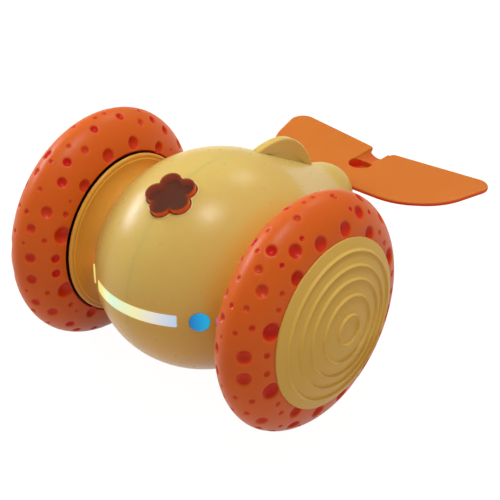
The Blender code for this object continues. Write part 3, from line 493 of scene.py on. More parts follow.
def spool_form():
    """Both necks and flanges as one spool about the wheel axis, with round lips."""
    lip = FLANGE_LIP / 2
    half = [(0.0, FLANGE_OFFSET)]
    half += [(radius, height) for height, radius
             in arc((FLANGE_OFFSET - lip, FLANGE_RADIUS - lip), lip, 0.0, math.pi, 12)]
    back = FLANGE_OFFSET - FLANGE_LIP
    shoulder = FLANGE_RADIUS - lip - FLANGE_STEP
    half += [(shoulder, back), (shoulder - STEP_RUN, back - STEP_DROP)]
    reach = back - STEP_DROP - NECK_OFFSET
    outer = shoulder - STEP_FLOOR
    steps = 24
    for step in range(steps - 1, -1, -1):
        angle = math.pi / 2 * step / steps
        half.append((outer - (outer - NECK_RADIUS) * math.cos(angle),
                     NECK_OFFSET + reach * math.sin(angle)))
    return along_x(lathe(half + [(radius, -height) for radius, height in reversed(half)], 220))


def on_ball(place, axis):
    """Distance along an axis from a place to the ball's surface, outward."""
    scale = Vector((1 / BALL_WIDTH, 1 / BALL_LENGTH, 1 / BALL_HEIGHT))
    start = (place - Vector((0.0, BALL_SETBACK, 0.0))) * scale
    run = axis * scale
    a = run.dot(run)
    b = start.dot(run)
    c = start.dot(start) - 1.0
    return (-b + math.sqrt(max(0.0, b * b - a * c))) / a


class Seat:
    """A flat frame on the ball: a place and the axes that an outline is drawn on."""

    def __init__(self, place, across, up):
        self.place = Vector(place)
        self.across = Vector(across).normalized()
        self.up = Vector(up).normalized()
        self.out = self.across.cross(self.up)

    def lifted(self, x, y, height):
        """The point of the outline at a height over the seat's own plane."""
        return self.place + self.across * x + self.up * y + self.out * height

    def on_skin(self, x, y, height):
        """The point of the outline at a height over the ball's surface."""
        flat = self.lifted(x, y, 0.0)
        return flat + self.out * (on_ball(flat, self.out) + height)


def light_seat(angle, side):
    """Seat of a round light on the ball's equator."""
    place = (side * BALL_WIDTH * math.sin(angle), BALL_SETBACK - BALL_LENGTH * math.cos(angle),
             LIGHT_LIFT)
    out = Vector((side * math.sin(angle) / BALL_WIDTH, -math.cos(angle) / BALL_LENGTH, 0.0))
    out.normalize()
    return Seat(place, (-out.y, out.x, 0.0), (0.0, 0.0, 1.0))


STRIP_SEAT = Seat((0.0, BALL_SETBACK - BALL_LENGTH, LIGHT_LIFT), (1.0, 0.0, 0.0),
                  (0.0, 0.0, 1.0))
BUTTON_PLACE = Vector((0.0, BALL_SETBACK - BALL_LENGTH * math.cos(BUTTON_ANGLE),
                       BALL_HEIGHT * math.sin(BUTTON_ANGLE)))
BUTTON_TILT = math.atan2(math.cos(BUTTON_ANGLE) / BALL_LENGTH,
                         math.sin(BUTTON_ANGLE) / BALL_HEIGHT)
BUTTON_SEAT = Seat(BUTTON_PLACE, (1.0, 0.0, 0.0),
                   (0.0, math.cos(BUTTON_TILT), math.sin(BUTTON_TILT)))


def flower(margin):
    """Outline of round petals, one of them to the front."""
    radius = PETAL_RADIUS + margin
    half = math.pi / PETAL_COUNT
    steps = 32
    outline = []
    for petal in range(PETAL_COUNT):
        middle = -math.pi / 2 + 2 * half * petal
        for step in range(steps):
            off = half * (2 * step / steps - 1)
            side = PETAL_CENTRE * math.sin(off)
            reach = PETAL_CENTRE * math.cos(off) + math.sqrt(radius ** 2 - side ** 2)
            outline.append((reach * math.cos(middle + off), reach * math.sin(middle + off)))
    return outline


def strip(margin):
    """Outline of the light strip."""
    x = BALL_WIDTH * math.sin(STRIP_HALF_ANGLE)
    y = STRIP_HEIGHT / 2
    corner = 0.25 * MM
    corners = [(x, -y, corner), (x, y, corner), (-x, y, corner), (-x, -y, corner)]
    return grown(resampled(rounded_outline(corners, 4), 320), margin)


def disc(margin):
    """Outline of a round light."""
    return arc((0.0, 0.0), ROUND_RADIUS + margin, 0.0, 2 * math.pi, 72)[:-1]


def window(seat, outline_at, gap, edge):
    """A cutter through the wall with a rounded outer edge that follows the ball."""
    rings = [[seat.on_skin(x, y, -WINDOW_DEPTH) for x, y in outline_at(gap)]]
    for spread, drop in round_over(edge, 6):
        rings.append([seat.on_skin(x, y, -drop) for x, y in outline_at(gap + spread)])
    for outline in drawn_in(outline_at(gap + edge + 0.02 * MM), 16):
        rings.append([seat.on_skin(x, y, WINDOW_COVER) for x, y in outline])
    return loft(rings)


def bead(seat, outline_at, section):
    """A closed bead round an outline that follows the ball; its section is (margin, height)."""
    points = []
    rings = []
    for margin, height in section:
        ring = [tuple(seat.on_skin(x, y, height * MM)) for x, y in outline_at(margin * MM)]
        rings.append(list(range(len(points), len(points) + len(ring))))
        points.extend(ring)
    return mesh_of(points, ring_faces(rings, True))


def block(point_at, outline_at, margin, bottom, top, edge, edge_steps, top_steps):
    """A block with a rounded top edge, by a seat's way to place points at a height."""
    rings = [[point_at(x, y, bottom) for x, y in outline_at(margin)]]
    for loss, drop in round_over(edge, edge_steps):
        rings.append([point_at(x, y, top - drop) for x, y in outline_at(margin - loss)])
    for outline in drawn_in(outline_at(margin - edge), top_steps)[1:]:
        rings.append([point_at(x, y, top) for x, y in outline])
    return loft(rings)


def lens(seat, outline_at, lift, edge):
    """A lens that follows the ball, with a rounded edge."""
    return block(seat.on_skin, outline_at, 0.0, -LENS_DEPTH, lift, edge, 5, 30)


def fin_outline(margin):
    """Outline of the fin: a low arch over the body's slope, closed below by its root."""
    steps = 96
    arch = []
    for step in range(steps + 1):
        along = 0.5 - 0.5 * math.cos(math.pi * step / steps)
        if along < FIN_PEAK:
            up = math.sin(math.pi / 2 * along / FIN_PEAK) ** FIN_FRONT_POWER
        else:
            fall = (along - FIN_PEAK) / (1.0 - FIN_PEAK)
            up = math.cos(math.pi / 2 * fall) ** FIN_REAR_POWER
        arch.append((along * FIN_CHORD, up * FIN_HEIGHT))
    root = [(FIN_CHORD, -FIN_ROOT), (0.0, -FIN_ROOT)]
    return grown(resampled([*reversed(arch), *reversed(root)], 260), margin)


def plate(outline_at, half, edge, centre=(0.0, 0.0)):
    """A plate with rounded edges through an outline in local XY."""
    rings = []
    for side in (-1, 1):
        turn = []
        for loss, drop in round_over(edge, 5):
            turn.append([(x, y, side * (half - drop)) for x, y in outline_at(-loss)])
        inner = [(x - centre[0], y - centre[1]) for x, y in outline_at(-edge)]
        for outline in drawn_in(inner, 12)[1:]:
            turn.append([(x + centre[0], y + centre[1], side * half) for x, y in outline])
        rings.extend(reversed(turn) if side < 0 else turn)
    return loft(rings)


def start_material(name):
    """A material with its Principled shader."""
    material = bpy.data.materials.new(name)
    material.use_nodes = True
    return material, material.node_tree, material.node_tree.nodes["Principled BSDF"]


def linear(color):
    """A display colour of 0 to 255 as a linear one."""
    result = []
    for value in color:
        share = value / 255
        result.append(share / 12.92 if share <= 0.04045 else ((share + 0.055) / 1.055) ** 2.4)
    return (*result, 1.0)


def object_place(tree):
    """The place on the object, split into X, Y and Z."""
    place = tree.nodes.new("ShaderNodeTexCoord")
    parts = tree.nodes.new("ShaderNodeSeparateXYZ")
    tree.links.new(place.outputs["Object"], parts.inputs["Vector"])
    return parts.outputs


def noise(tree, scale, detail=2.0):
    """A noise texture in object space."""
    place = tree.nodes.new("ShaderNodeTexCoord")
    texture = tree.nodes.new("ShaderNodeTexNoise")
    texture.inputs["Scale"].default_value = scale
    texture.inputs["Detail"].default_value = detail
    tree.links.new(place.outputs["Object"], texture.inputs["Vector"])
    return texture.outputs["Fac"]


def calculated(tree, operation, first, second=None):
    """A Math node on sockets, or on a socket and a number."""
    node = tree.nodes.new("ShaderNodeMath")
    node.operation = operation
    tree.links.new(first, node.inputs[0])
    if isinstance(second, bpy.types.NodeSocket):
        tree.links.new(second, node.inputs[1])
    elif second is not None:
        node.inputs[1].default_value = second
    return node.outputs[0]


def mixed(tree, share, first, second):
    """A colour mix; each end is a colour or a socket."""
    mix = tree.nodes.new("ShaderNodeMix")
    mix.data_type = "RGBA"
    for value, socket in ((share, mix.inputs[0]), (first, mix.inputs[6]), (second, mix.inputs[7])):
        if isinstance(value, bpy.types.NodeSocket):
            tree.links.new(value, socket)
        else:
            socket.default_value = value
    return mix.outputs[2]


def ranged(tree, value, low, high, to_low, to_high):
    """A value mapped from one range to another and clamped."""
    node = tree.nodes.new("ShaderNodeMapRange")
    for name, number in (("From Min", low), ("From Max", high), ("To Min", to_low),
                         ("To Max", to_high)):
        node.inputs[name].default_value = number
    tree.links.new(value, node.inputs["Value"])
    return node.outputs["Result"]


def add_grain(tree, shader, scale, height):
    """A fine moulded grain as bump."""
    bump = tree.nodes.new("ShaderNodeBump")
    bump.inputs["Distance"].default_value = height
    bump.inputs["Strength"].default_value = 1.0
    tree.links.new(noise(tree, scale, 3.0), bump.inputs["Height"])
    tree.links.new(bump.outputs["Normal"], shader.inputs["Normal"])


def moulded(name, color, deep, rough, scatter=0.0, grain=0.0, metallic=0.0, gloss=0.5):
    """Moulded plastic or metal with faint mottling of its colour and gloss."""
    material, tree, shader = start_material(name)
    tree.links.new(mixed(tree, noise(tree, MOTTLE_SCALE), linear(color), linear(deep)),
                   shader.inputs["Base Color"])
    tree.links.new(ranged(tree, noise(tree, GLOSS_SCALE), 0.3, 0.7, rough - 0.03, rough + 0.03),
                   shader.inputs["Roughness"])
    shader.inputs["Metallic"].default_value = metallic
    shader.inputs["Specular IOR Level"].default_value = gloss
    shader.inputs["Subsurface Weight"].default_value = scatter
    shader.inputs["Subsurface Radius"].default_value = (1.0, 0.4, 0.12)
    shader.inputs["Subsurface Scale"].default_value = 4.0 * MM
    if grain:
        add_grain(tree, shader, PLASTIC_GRAIN_SCALE, grain)
    return material


def with_painted_bounce_shade(material, deep):
    """Paint shade into a material: a deeper, warmer tone low on the ball and out at the flanges, for
    warm bounce light and shadow.
    """
    tree = material.node_tree
    socket = tree.nodes["Principled BSDF"].inputs["Base Color"]
    plain = socket.links[0].from_socket
    place = object_place(tree)
    low = ranged(tree, place["Z"], BOUNCE_SHADE_BOTTOM, BOUNCE_SHADE_TOP, BOUNCE_SHADE_SHARE, 0.0)
    side = calculated(tree, "ABSOLUTE", place["X"])
    aside = ranged(tree, side, BOUNCE_SHADE_SIDE_START, BOUNCE_SHADE_SIDE_END, 0.0, 1.0)
    share = calculated(tree, "MAXIMUM", low, aside)
    # Painted shade: the colour runs to the deeper, warmer one low down and out to the sides
    tree.links.new(mixed(tree, share, plain, linear(deep)), socket)
    return material


def rubber_with_painted_shade(name, colors, deep, rough, gloss, grain):
    """Orange rubber with painted shade: it turns deep red where its painted-shade attribute is high.
    """
    material, tree, shader = start_material(name)
    pit_shade = tree.nodes.new("ShaderNodeAttribute")
    pit_shade.attribute_name = "pit_shade"
    skin = mixed(tree, noise(tree, RUBBER_MOTTLE_SCALE), linear(colors[0]), linear(colors[1]))
    share = ranged(tree, pit_shade.outputs["Fac"], 0.0, 1.0, 0.0, 1.0)
    tree.links.new(mixed(tree, share, skin, linear(deep)), shader.inputs["Base Color"])
    shader.inputs["Roughness"].default_value = rough
    shader.inputs["Specular IOR Level"].default_value = gloss
    shader.inputs["Subsurface Weight"].default_value = 0.35
    shader.inputs["Subsurface Radius"].default_value = (1.0, 0.2, 0.06)
    shader.inputs["Subsurface Scale"].default_value = 2.5 * MM
    add_grain(tree, shader, RUBBER_GRAIN_SCALE, grain)
    return material


def glowing(name, stops, low, high, strength):
    """A lens, softly lit from behind, whose colour runs from left to right. The stops are
    (share, colour) with the two ends first."""
    material, tree, shader = start_material(name)
    ramp = tree.nodes.new("ShaderNodeValToRGB")
    elements = ramp.color_ramp.elements
    for index, (share, color) in enumerate(stops):
        point = elements[index] if index < len(elements) else elements.new(share)
        point.position = share
        point.color = linear(color)
    across = ranged(tree, object_place(tree)["X"], low, high, 0.0, 1.0)
    tree.links.new(across, ramp.inputs["Fac"])
    tree.links.new(ramp.outputs["Color"], shader.inputs["Base Color"])
    tree.links.new(ramp.outputs["Color"], shader.inputs["Emission Color"])
    shader.inputs["Emission Strength"].default_value = strength
    shader.inputs["Roughness"].default_value = 0.25
    shader.inputs["Specular IOR Level"].default_value = 0.3
    return material


def tinted(name):
    """Dark brown see-through plastic."""
    material, tree, shader = start_material(name)
    tree.links.new(mixed(tree, noise(tree, TINT_MOTTLE_SCALE), linear((96, 66, 60)),
                         linear((124, 68, 50))), shader.inputs["Base Color"])
    shader.inputs["Alpha"].default_value = 0.36
    shader.inputs["Roughness"].default_value = 0.3
    shader.inputs["IOR"].default_value = 1.0
    return material


def joined(meshes):
    """One mesh of several that keep clear of each other."""
    shape = bmesh.new()
    for mesh in meshes:
        shape.from_mesh(mesh)
    result = bpy.data.meshes.new("joined")
    shape.to_mesh(result)
    shape.free()
    return result


def tail_seat():
    """Cutter for the jaw across the nub and the pocket of the tail's tongue."""
    gap = 0.3 * MM
    top = TAIL_TOP + gap
    bottom = TAIL_TOP - TAIL_THICKNESS - 0.7 * MM
    half = TONGUE_HALF_WIDTH + gap
    jaw = box_mesh((-12 * MM, TAIL_FRONT - gap, bottom), (12 * MM, 70 * MM, top))
    pocket = box_mesh((-half, TAIL_FRONT - TONGUE_LENGTH - gap, bottom), (half, 69 * MM, top))
    return combine(jaw, "UNION", pocket)


def build_shells(material):
    """The two halves of the housing, with every window rounded off."""
    body = combine(body_form(body_profile(), 240), "UNION", spool_form())
    body = combine(body, "DIFFERENCE", body_form(hollow_profile(), 96))
    reach = BALL_WIDTH + 2 * MM
    bushes = along_x(lathe([(0.0, reach), (BUSH_SEAT_RADIUS, reach), (BUSH_SEAT_RADIUS, -reach),
                            (0.0, -reach)], 48))
    body = combine(body, "DIFFERENCE", bushes)
    cutters = [window(STRIP_SEAT, strip, gap=0.1 * MM, edge=0.12 * MM),
               window(BUTTON_SEAT, flower, gap=0.25 * MM, edge=0.05 * MM), tail_seat()]
    for side in (1, -1):
        for angle in (INNER_ANGLE, OUTER_ANGLE):
            cutters.append(window(light_seat(angle, side), disc, gap=0.1 * MM, edge=0.15 * MM))
    end_gap = 0.3 * MM
    half = FIN_THICKNESS / 2 + 0.1 * MM
    slot = box_mesh((-end_gap, -FIN_ROOT - end_gap, -half), (FIN_CHORD + end_gap, 3.0 * MM, half))
    cutters.append(placed(slot, fin_place(), fin_turn()))
    low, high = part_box("usb_socket")
    margin = Vector((SOCKET_GAP, SOCKET_GAP, 0.0))
    cutters.append(box_mesh(low - AXLE - margin - Vector((0.0, 0.0, SOCKET_DEPTH)),
                            high - AXLE + margin))
    body = combine(body, "DIFFERENCE", joined(cutters))
    for side, word in ((1, "right"), (-1, "left")):
        near, far = sorted((side * SEAM, side * 40 * MM))
        half = combine(body.copy(), "INTERSECT",
                       box_mesh((near, -50 * MM, -50 * MM), (far, 80 * MM, 50 * MM)))
        piece(word + "_housing", half, "body", material, [word + "_shell"])


def fin_turn():
    """Turn from the fin's outline frame, along the body's slope and out of it, to the toy's."""
    along = Vector((0.0, 1.0, -CONE_SLOPE)).normalized()
    out = Vector((0.0, CONE_SLOPE, 1.0)).normalized()
    return Matrix((along, out, along.cross(out))).transposed()


def fin_place():
    """Where the fin's outline starts on the body."""
    return Vector((0.0, FIN_START, cone_radius(FIN_START)))


def build_fin(material):
    """Dorsal fin with rounded edges."""
    blade = plate(fin_outline, FIN_THICKNESS / 2, 0.45 * MM,
                  (FIN_CHORD * 0.52, FIN_HEIGHT * 0.35))
    piece("fin_blade", placed(blade, fin_place(), fin_turn()), "body", material,
          ["dorsal_fin"])


def build_lights():
    """Light strip and the four round lights."""
    glow = glowing("strip_glow", [(0.0, (244, 248, 164)), (1.0, (180, 210, 254)),
                                  (0.10, (240, 246, 160)), (0.30, (202, 240, 218)),
                                  (0.60, (232, 238, 186)), (0.78, (220, 228, 226))],
                   -15 * MM, 15 * MM, 0.5)
    piece("light_strip_lens", lens(STRIP_SEAT, strip, 0.02 * MM, 0.15 * MM), "body", glow,
          ["light_strip"])
    looks = {
        ("right", "inner"): ("blue_lens", (12, 112, 200), (8, 184, 252)),
        ("right", "outer"): ("violet_lens", (196, 110, 150), (226, 150, 190)),
        ("left", "inner"): ("yellow_lens", (226, 208, 104), (236, 222, 140)),
        ("left", "outer"): ("orange_lens", (226, 150, 70), (232, 170, 90)),
    }
    for (word, spot), (slot, first, last) in looks.items():
        side = 1 if word == "right" else -1
        angle = INNER_ANGLE if spot == "inner" else OUTER_ANGLE
        seat = light_seat(angle, side)
        reach = ROUND_RADIUS * abs(seat.across.x)
        glow = glowing("%s_%s_glow" % (word, spot), [(0.0, first), (1.0, last)],
                       seat.place.x - reach, seat.place.x + reach, 0.5)
        name = "%s_%s_light" % (word, spot)
        lift = 0.3 * MM if spot == "inner" else 0.02 * MM
        piece(name + "_lens", lens(seat, disc, lift, 0.3 * MM), "body", glow, [name])


def petals(margin, bottom, top, edge):
    """A flower-shaped block on the button's seat."""
    return block(BUTTON_SEAT.lifted, flower, margin, bottom, top, edge, 6, 20)


def build_flower(rim_highlight, cup, floor, clear):
    """Flower button: a rim bead painted pale as a highlight, cup with a floor painted dark for the
    shade deep in the cup and a tinted lid, stop disc and stem.
    """
    under_lid = BUTTON_TOP - LID_THICKNESS
    sharp = 0.02 * MM
    sides = petals(0.0, BUTTON_FOOT, under_lid, sharp)
    sides = combine(sides, "DIFFERENCE",
                    petals(-BUTTON_WALL, BUTTON_FLOOR - 0.4 * MM, BUTTON_TOP, sharp))
    stop = lathe([(radius * MM, height * MM) for radius, height in STOP_PROFILE], 64)
    turn = Matrix((BUTTON_SEAT.across, BUTTON_SEAT.up, BUTTON_SEAT.out)).transposed()
    sides = combine(sides, "UNION", placed(stop, BUTTON_PLACE, turn))
    # Painted shade: the floor plate is dark brown for the shade deep in the cup under the tinted lid
    plate_form = petals(-BUTTON_WALL - 0.02 * MM, BUTTON_FLOOR - 0.38 * MM, BUTTON_FLOOR, 0.1 * MM)
    lid = petals(0.0, under_lid + 0.01 * MM, BUTTON_TOP, 0.45 * MM)
    # Painted highlight: the rim bead is pale, for light caught on the rounded edge of the window
    piece("flower_rim", bead(BUTTON_SEAT, flower, RIM_SECTION), "body", rim_highlight, ())
    piece("flower_cup", sides, "button", cup, ["flower_button"])
    piece("flower_floor", plate_form, "button", floor, ())
    piece("flower_lid", lid, "button", clear, ())


def tail_outline(margin):
    """Outline of the tail with its tongue. The point at the hole's centre only aims the fillet
    of the notch between the lobes, and is left out."""
    length = TAIL_REAR - TAIL_FRONT
    right = [
        (TONGUE_HALF_WIDTH, TAIL_FRONT - TONGUE_LENGTH, 0.6 * MM),
        (TONGUE_HALF_WIDTH, TAIL_FRONT, 0.0),
        (0.54 * TAIL_SPAN, TAIL_FRONT + 0.035 * length, 21.0 * MM),
        (0.85 * TAIL_SPAN, TAIL_FRONT + 0.322 * length, 21.0 * MM),
        (TAIL_SPAN, TAIL_REAR, 4.2 * MM),
        (0.090 * TAIL_SPAN, TAIL_FRONT + NOTCH_DEPTH * length, 1.8 * MM),
        (3.1 * MM, HOLE_CENTRE, 0.0),
    ]
    left = [(-x, y, radius) for x, y, radius in reversed(right)]
    loop = [point for point in rounded_outline(right + left, 16) if point[1] != HOLE_CENTRE]
    return grown(resampled(loop, 720), margin)


def boss_rear():
    """Where the boss behind the lure hole ends, in the notch between the lobes."""
    return TAIL_FRONT + NOTCH_DEPTH * (TAIL_REAR - TAIL_FRONT) - 1.8 * MM


def boss_form():
    """Boss under the tail, round in front and square behind."""
    outline = arc((0.0, HOLE_CENTRE), BOSS_RADIUS, math.pi, math.pi, 40)
    outline += [(BOSS_RADIUS, boss_rear()), (-BOSS_RADIUS, boss_rear())]
    top = TAIL_TOP - TAIL_DROOP * BOSS_RADIUS - TAIL_THICKNESS / 2
    bottom = TAIL_TOP - HOLE_DEPTH - 1.0 * MM
    return loft([[(x, y, height) for x, y in outline] for height in (bottom, top)])


def hole_form():
    """Cutter for the lure hole, with a rounded floor and mouth."""
    edge = 0.35 * MM
    floor = TAIL_TOP - HOLE_DEPTH
    over = TAIL_TOP + 2 * MM
    profile = [(0.0, floor), (HOLE_RADIUS - edge, floor)]
    profile += [(HOLE_RADIUS - drop, floor + loss) for loss, drop in round_over(edge, 5)[1:]]
    profile += [(HOLE_RADIUS, floor + edge + (HOLE_DEPTH - 2 * edge) * step / 9)
                for step in range(1, 9)]
    profile += [(HOLE_RADIUS + spread, TAIL_TOP - drop) for spread, drop in round_over(edge, 6)]
    profile += [(HOLE_RADIUS + edge + 0.02 * MM, over), (0.0, over)]
    return placed(lathe(profile, 96), (HOLE_SIDE, HOLE_CENTRE, 0.0))


def channel_form():
    """Cutter for the channel that runs back from the lure hole and deepens on its way."""
    rings = []
    steps = 12
    over = TAIL_TOP + 2 * MM
    half = CHANNEL_HALF_WIDTH
    for step in range(steps + 1):
        share = step / steps
        y = HOLE_CENTRE + share * (boss_rear() + 4 * MM - HOLE_CENTRE)
        depth = CHANNEL_START_DEPTH + CHANNEL_DEEPENING * min(1.0, share * 1.1)
        round_floor = [(-half * math.cos(angle), TAIL_TOP - depth * math.sin(angle))
                       for angle in [math.pi * part / 16 for part in range(17)]]
        rings.append([(x + HOLE_SIDE, y, z) for x, z in [(-half, over), *round_floor, (half, over)]])
    return loft(rings)


def tail_painted_shade(tail):
    """Painted shade of each point, by how deep it lies in the hole or the channel, or down the
    tail's side edge.
    """
    shade_shares = []
    near = 4.4 * MM
    for vertex in tail.vertices:
        x, y, z = vertex.co
        down = (TAIL_TOP - TAIL_DROOP * abs(x) - z) / MM
        if abs(x) < near and y > HOLE_CENTRE - near:
            share = 0.3 if y > HOLE_CENTRE + 3.0 * MM else 1.0
            shade_shares.append(share * clamped((down - 0.2) / 1.4))
        else:
            shade_shares.append(clamped((down - 0.15) / 0.4) * (abs(vertex.normal.z) < 0.95))
    return shade_shares


def keep_painted_shade(mesh, shade_shares):
    """Keep each point's share of painted shade for the material."""
    mesh.attributes.new("pit_shade", "FLOAT", "POINT").data.foreach_set("value", shade_shares)


def build_tail(material):
    """Tail paddle with rounded edges, its boss, lure hole and channel."""
    half = TAIL_THICKNESS / 2
    tail = plate(tail_outline, half, 0.5 * MM, (0.0, HOLE_CENTRE - 4 * MM))
    for vertex in tail.vertices:
        vertex.co.z += TAIL_TOP - half - TAIL_DROOP * abs(vertex.co.x)
    tail = combine(tail, "UNION", boss_form())
    for cutter in (hole_form(), channel_form()):
        tail = combine(tail, "DIFFERENCE", cutter)
    # Painted shade: deep red in the hole and the channel and down the side edges
    keep_painted_shade(tail, tail_painted_shade(tail))
    piece("tail_fluke", tail, "body", material, ["tail_paddle"])


def tyre_section():
    """Section of the tyre as (radius, across), from the outer mouth over the crown."""
    lift = TYRE_RADIUS - TYRE_SHOULDER
    power = 2 / TYRE_ROUNDNESS
    start = math.asin(((TYRE_BORE + MOUTH_CHAMFER - TYRE_SHOULDER) / lift) ** (1 / power))
    coarse = []
    for step in range(401):
        angle = start + (math.pi - 2 * start) * step / 400
        cosine = math.cos(angle)
        across = math.copysign(abs(cosine) ** power, cosine) * TYRE_HALF_WIDTH
        coarse.append((TYRE_SHOULDER + lift * math.sin(angle) ** power, across))
    return even_line(coarse, 130)


def tyre_normals(section):
    """Outward normals of the section's points as (radial, across)."""
    normals = []
    for index in range(len(section)):
        before = Vector(section[max(0, index - 1)])
        after = Vector(section[min(len(section) - 1, index + 1)])
        along = (after - before).normalized()
        normals.append((-along.y, along.x))
    return normals


def spoke(across, radius, angle):
    """The point at a place across, a radius and an angle about the wheel axis."""
    return Vector((across, radius * math.cos(angle), radius * math.sin(angle)))


def dimple_spots():
    """Place on the tyre, radius and painted shade of each dimple, in all four quarters."""
    spots = []
    lift = TYRE_RADIUS - TYRE_SHOULDER
    for degrees, across, radius, red in DIMPLES:
        share = abs(across) * MM / TYRE_HALF_WIDTH
        reach = TYRE_SHOULDER + lift * (1 - share ** TYRE_ROUNDNESS) ** (1 / TYRE_ROUNDNESS)
        for turn in (degrees, 180 - degrees, -degrees, degrees - 180):
            spots.append((spoke(across * MM, reach, math.radians(turn)), radius * MM, red))
    return spots


def tyre_form():
    """Tyre with its dimples pressed into a fine skin, and painted shade kept as an attribute: deep
    red in the dimples, at the mouths and in the bore.
    """
    section = tyre_section()
    normals = tyre_normals(section)
    steps = 860
    points = []
    directions = []
    for (radius, across), (out, side) in zip(section, normals):
        for step in range(steps):
            angle = 2 * math.pi * step / steps
            points.append(spoke(across, radius, angle))
            directions.append(spoke(side, out, angle))
    tree = KDTree(len(points))
    for index, point in enumerate(points):
        tree.insert(point, index)
    tree.balance()
    shade_shares = [0.0] * len(points)
    sink = [0.0] * len(points)
    for place, radius, red in dimple_spots():
        depth = DIMPLE_DEPTH * radius
        dimple_shade_red = LEAST_DIMPLE_SHADE + (1.0 - LEAST_DIMPLE_SHADE) * red
        for _, index, distance in tree.find_range(place, radius * DIMPLE_REACH):
            inner = 1.0 - (distance / radius) ** 2
            press = depth * (inner + math.sqrt(inner ** 2 + DIMPLE_SOFTNESS)) / 2
            fade = clamped((DIMPLE_REACH - distance / radius) / DIMPLE_FADE)
            sink[index] = max(sink[index], press * fade)
            # Painted shade: deep red inside each dimple, stronger towards its middle
            shade_shares[index] = max(shade_shares[index], dimple_shade_red * clamped(inner * 3.0))
    points = [point - way * deep for point, way, deep in zip(points, directions, sink)]
    # Painted shade at both mouths of the tyre
    for step in range(steps):
        shade_shares[step] = MOUTH_PAINTED_SHADE
        shade_shares[-step - 1] = MOUTH_PAINTED_SHADE
    rings = [list(range(row * steps, (row + 1) * steps)) for row in range(len(section))]
    side = section[0][1] - MOUTH_CHAMFER
    for across in (-side, side):
        rings.append(list(range(len(points), len(points) + steps)))
        for step in range(steps):
            points.append(spoke(across, TYRE_BORE, 2 * math.pi * step / steps))
            shade_shares.append(BORE_PAINTED_SHADE)
    mesh = mesh_of([tuple(point) for point in points], ring_faces(rings, True))
    keep_painted_shade(mesh, shade_shares)
    return mesh


def cap_form():
    """Wheel cap: a low dome with five rounded ring beads and a skirt."""
    points = [(0.0, CAP_EDGE_HEIGHT + CAP_RISE)]
    steps = 240
    for step in range(1, steps + 1):
        radius = CAP_EDGE * step / steps
        height = CAP_EDGE_HEIGHT + CAP_RISE * (1 - (radius / CAP_EDGE) ** 2)
        for middle in BEAD_RADII:
            off = abs(radius - middle) / BEAD_HALF_WIDTH
            if off < 1:
                height += BEAD_HEIGHT * math.cos(off * math.pi / 2) ** 2
        points.append((radius, height))
    lip = CAP_EDGE_HEIGHT - CAP_LIP
    under = RIM_END + CAP_GAP
    foot = under - SKIRT_DEPTH
    skirt = RIM_RADIUS - RIM_WALL - CAP_GAP
    points += [(CAP_EDGE, lip), (RIM_RADIUS, lip), (RIM_RADIUS, under), (skirt, under),
               (skirt, foot), (skirt - CAP_THICKNESS, foot), (skirt - CAP_THICKNESS, under)]
    for share in (0.735, 0.41, 0.0):
        points.append((share * CAP_EDGE, CAP_EDGE_HEIGHT - CAP_THICKNESS
                       + CAP_RISE * (1 - share ** 2)))
    return lathe(points, 256)


def rim_form():
    """Rim: hub, web and the band under the tyre."""
    inner = RIM_RADIUS - RIM_WALL
    band_in = RIM_INSET - TYRE_HALF_WIDTH
    web = RIM_WALL / 2
    profile = [(SHAFT_BORE, HUB_HALF_LENGTH), (HUB_RADIUS, HUB_HALF_LENGTH), (HUB_RADIUS, web),
               (inner, web), (inner, RIM_END), (RIM_RADIUS, RIM_END), (RIM_RADIUS, band_in),
               (inner, band_in), (inner, -web), (HUB_RADIUS, -web),
               (HUB_RADIUS, -HUB_HALF_LENGTH), (SHAFT_BORE, -HUB_HALF_LENGTH)]
    return lathe(profile, 160, True)


def build_wheels(rubber, amber, black):
    """Tyre, cap and rim of both wheels."""
    tyre = tyre_form()
    for side, word in ((1, "right"), (-1, "left")):
        body = word + "_wheel"
        place = (side * WHEEL.x, 0.0, 0.0)
        skin = tyre.copy()
        if side < 0:
            skin.transform(Matrix.Diagonal((-1.0, 1.0, 1.0, 1.0)))
            skin.flip_normals()
        piece(word + "_tyre_skin", placed(skin, place), body, rubber, [word + "_tyre"],
              sharp=70.0)
        piece(word + "_cap_rings", placed(along_x(cap_form(), side), place), body, amber,
              [word + "_wheel_cap"])
        piece(word + "_rim_band", placed(along_x(rim_form(), side), place), body, black,
              [word + "_rim"])


def dress_inside():
    """Materials for the CAD nodes that stay."""
    looks = (
        (moulded("board_green", (24, 92, 52), (18, 78, 44), 0.5), ("main_board", "charge_board")),
        (moulded("led_board_white", (224, 226, 218), (214, 216, 208), 0.5), ("led_board",)),
        (moulded("bright_steel", (190, 192, 196), (170, 172, 178), 0.3, metallic=1.0),
         ("usb_socket", "left_motor", "right_motor", "counterweight", "left_output_shaft",
          "right_output_shaft")),
        (moulded("cell_aluminium", (196, 198, 202), (184, 186, 190), 0.4, metallic=1.0),
         ("battery",)),
        (moulded("gearbox_brass", (206, 172, 98), (188, 152, 82), 0.35, metallic=1.0),
         ("left_gearbox", "right_gearbox")),
        (moulded("bush_bronze", (190, 140, 84), (170, 122, 70), 0.4, metallic=1.0),
         ("left_bush", "right_bush")),
        (moulded("frame_plastic", (226, 226, 220), (216, 216, 210), 0.55, grain=GRAIN),
         ("chassis", "motor_bridge")),
        (moulded("switch_black", (36, 36, 38), (28, 28, 30), 0.45), ("button_switch",)),
    )
    for material, names in looks:
        for name in names:
            slots = NODES[name].data.materials
            if len(slots) == 0:
                slots.append(material)
            for index in range(len(slots)):
                slots[index] = material


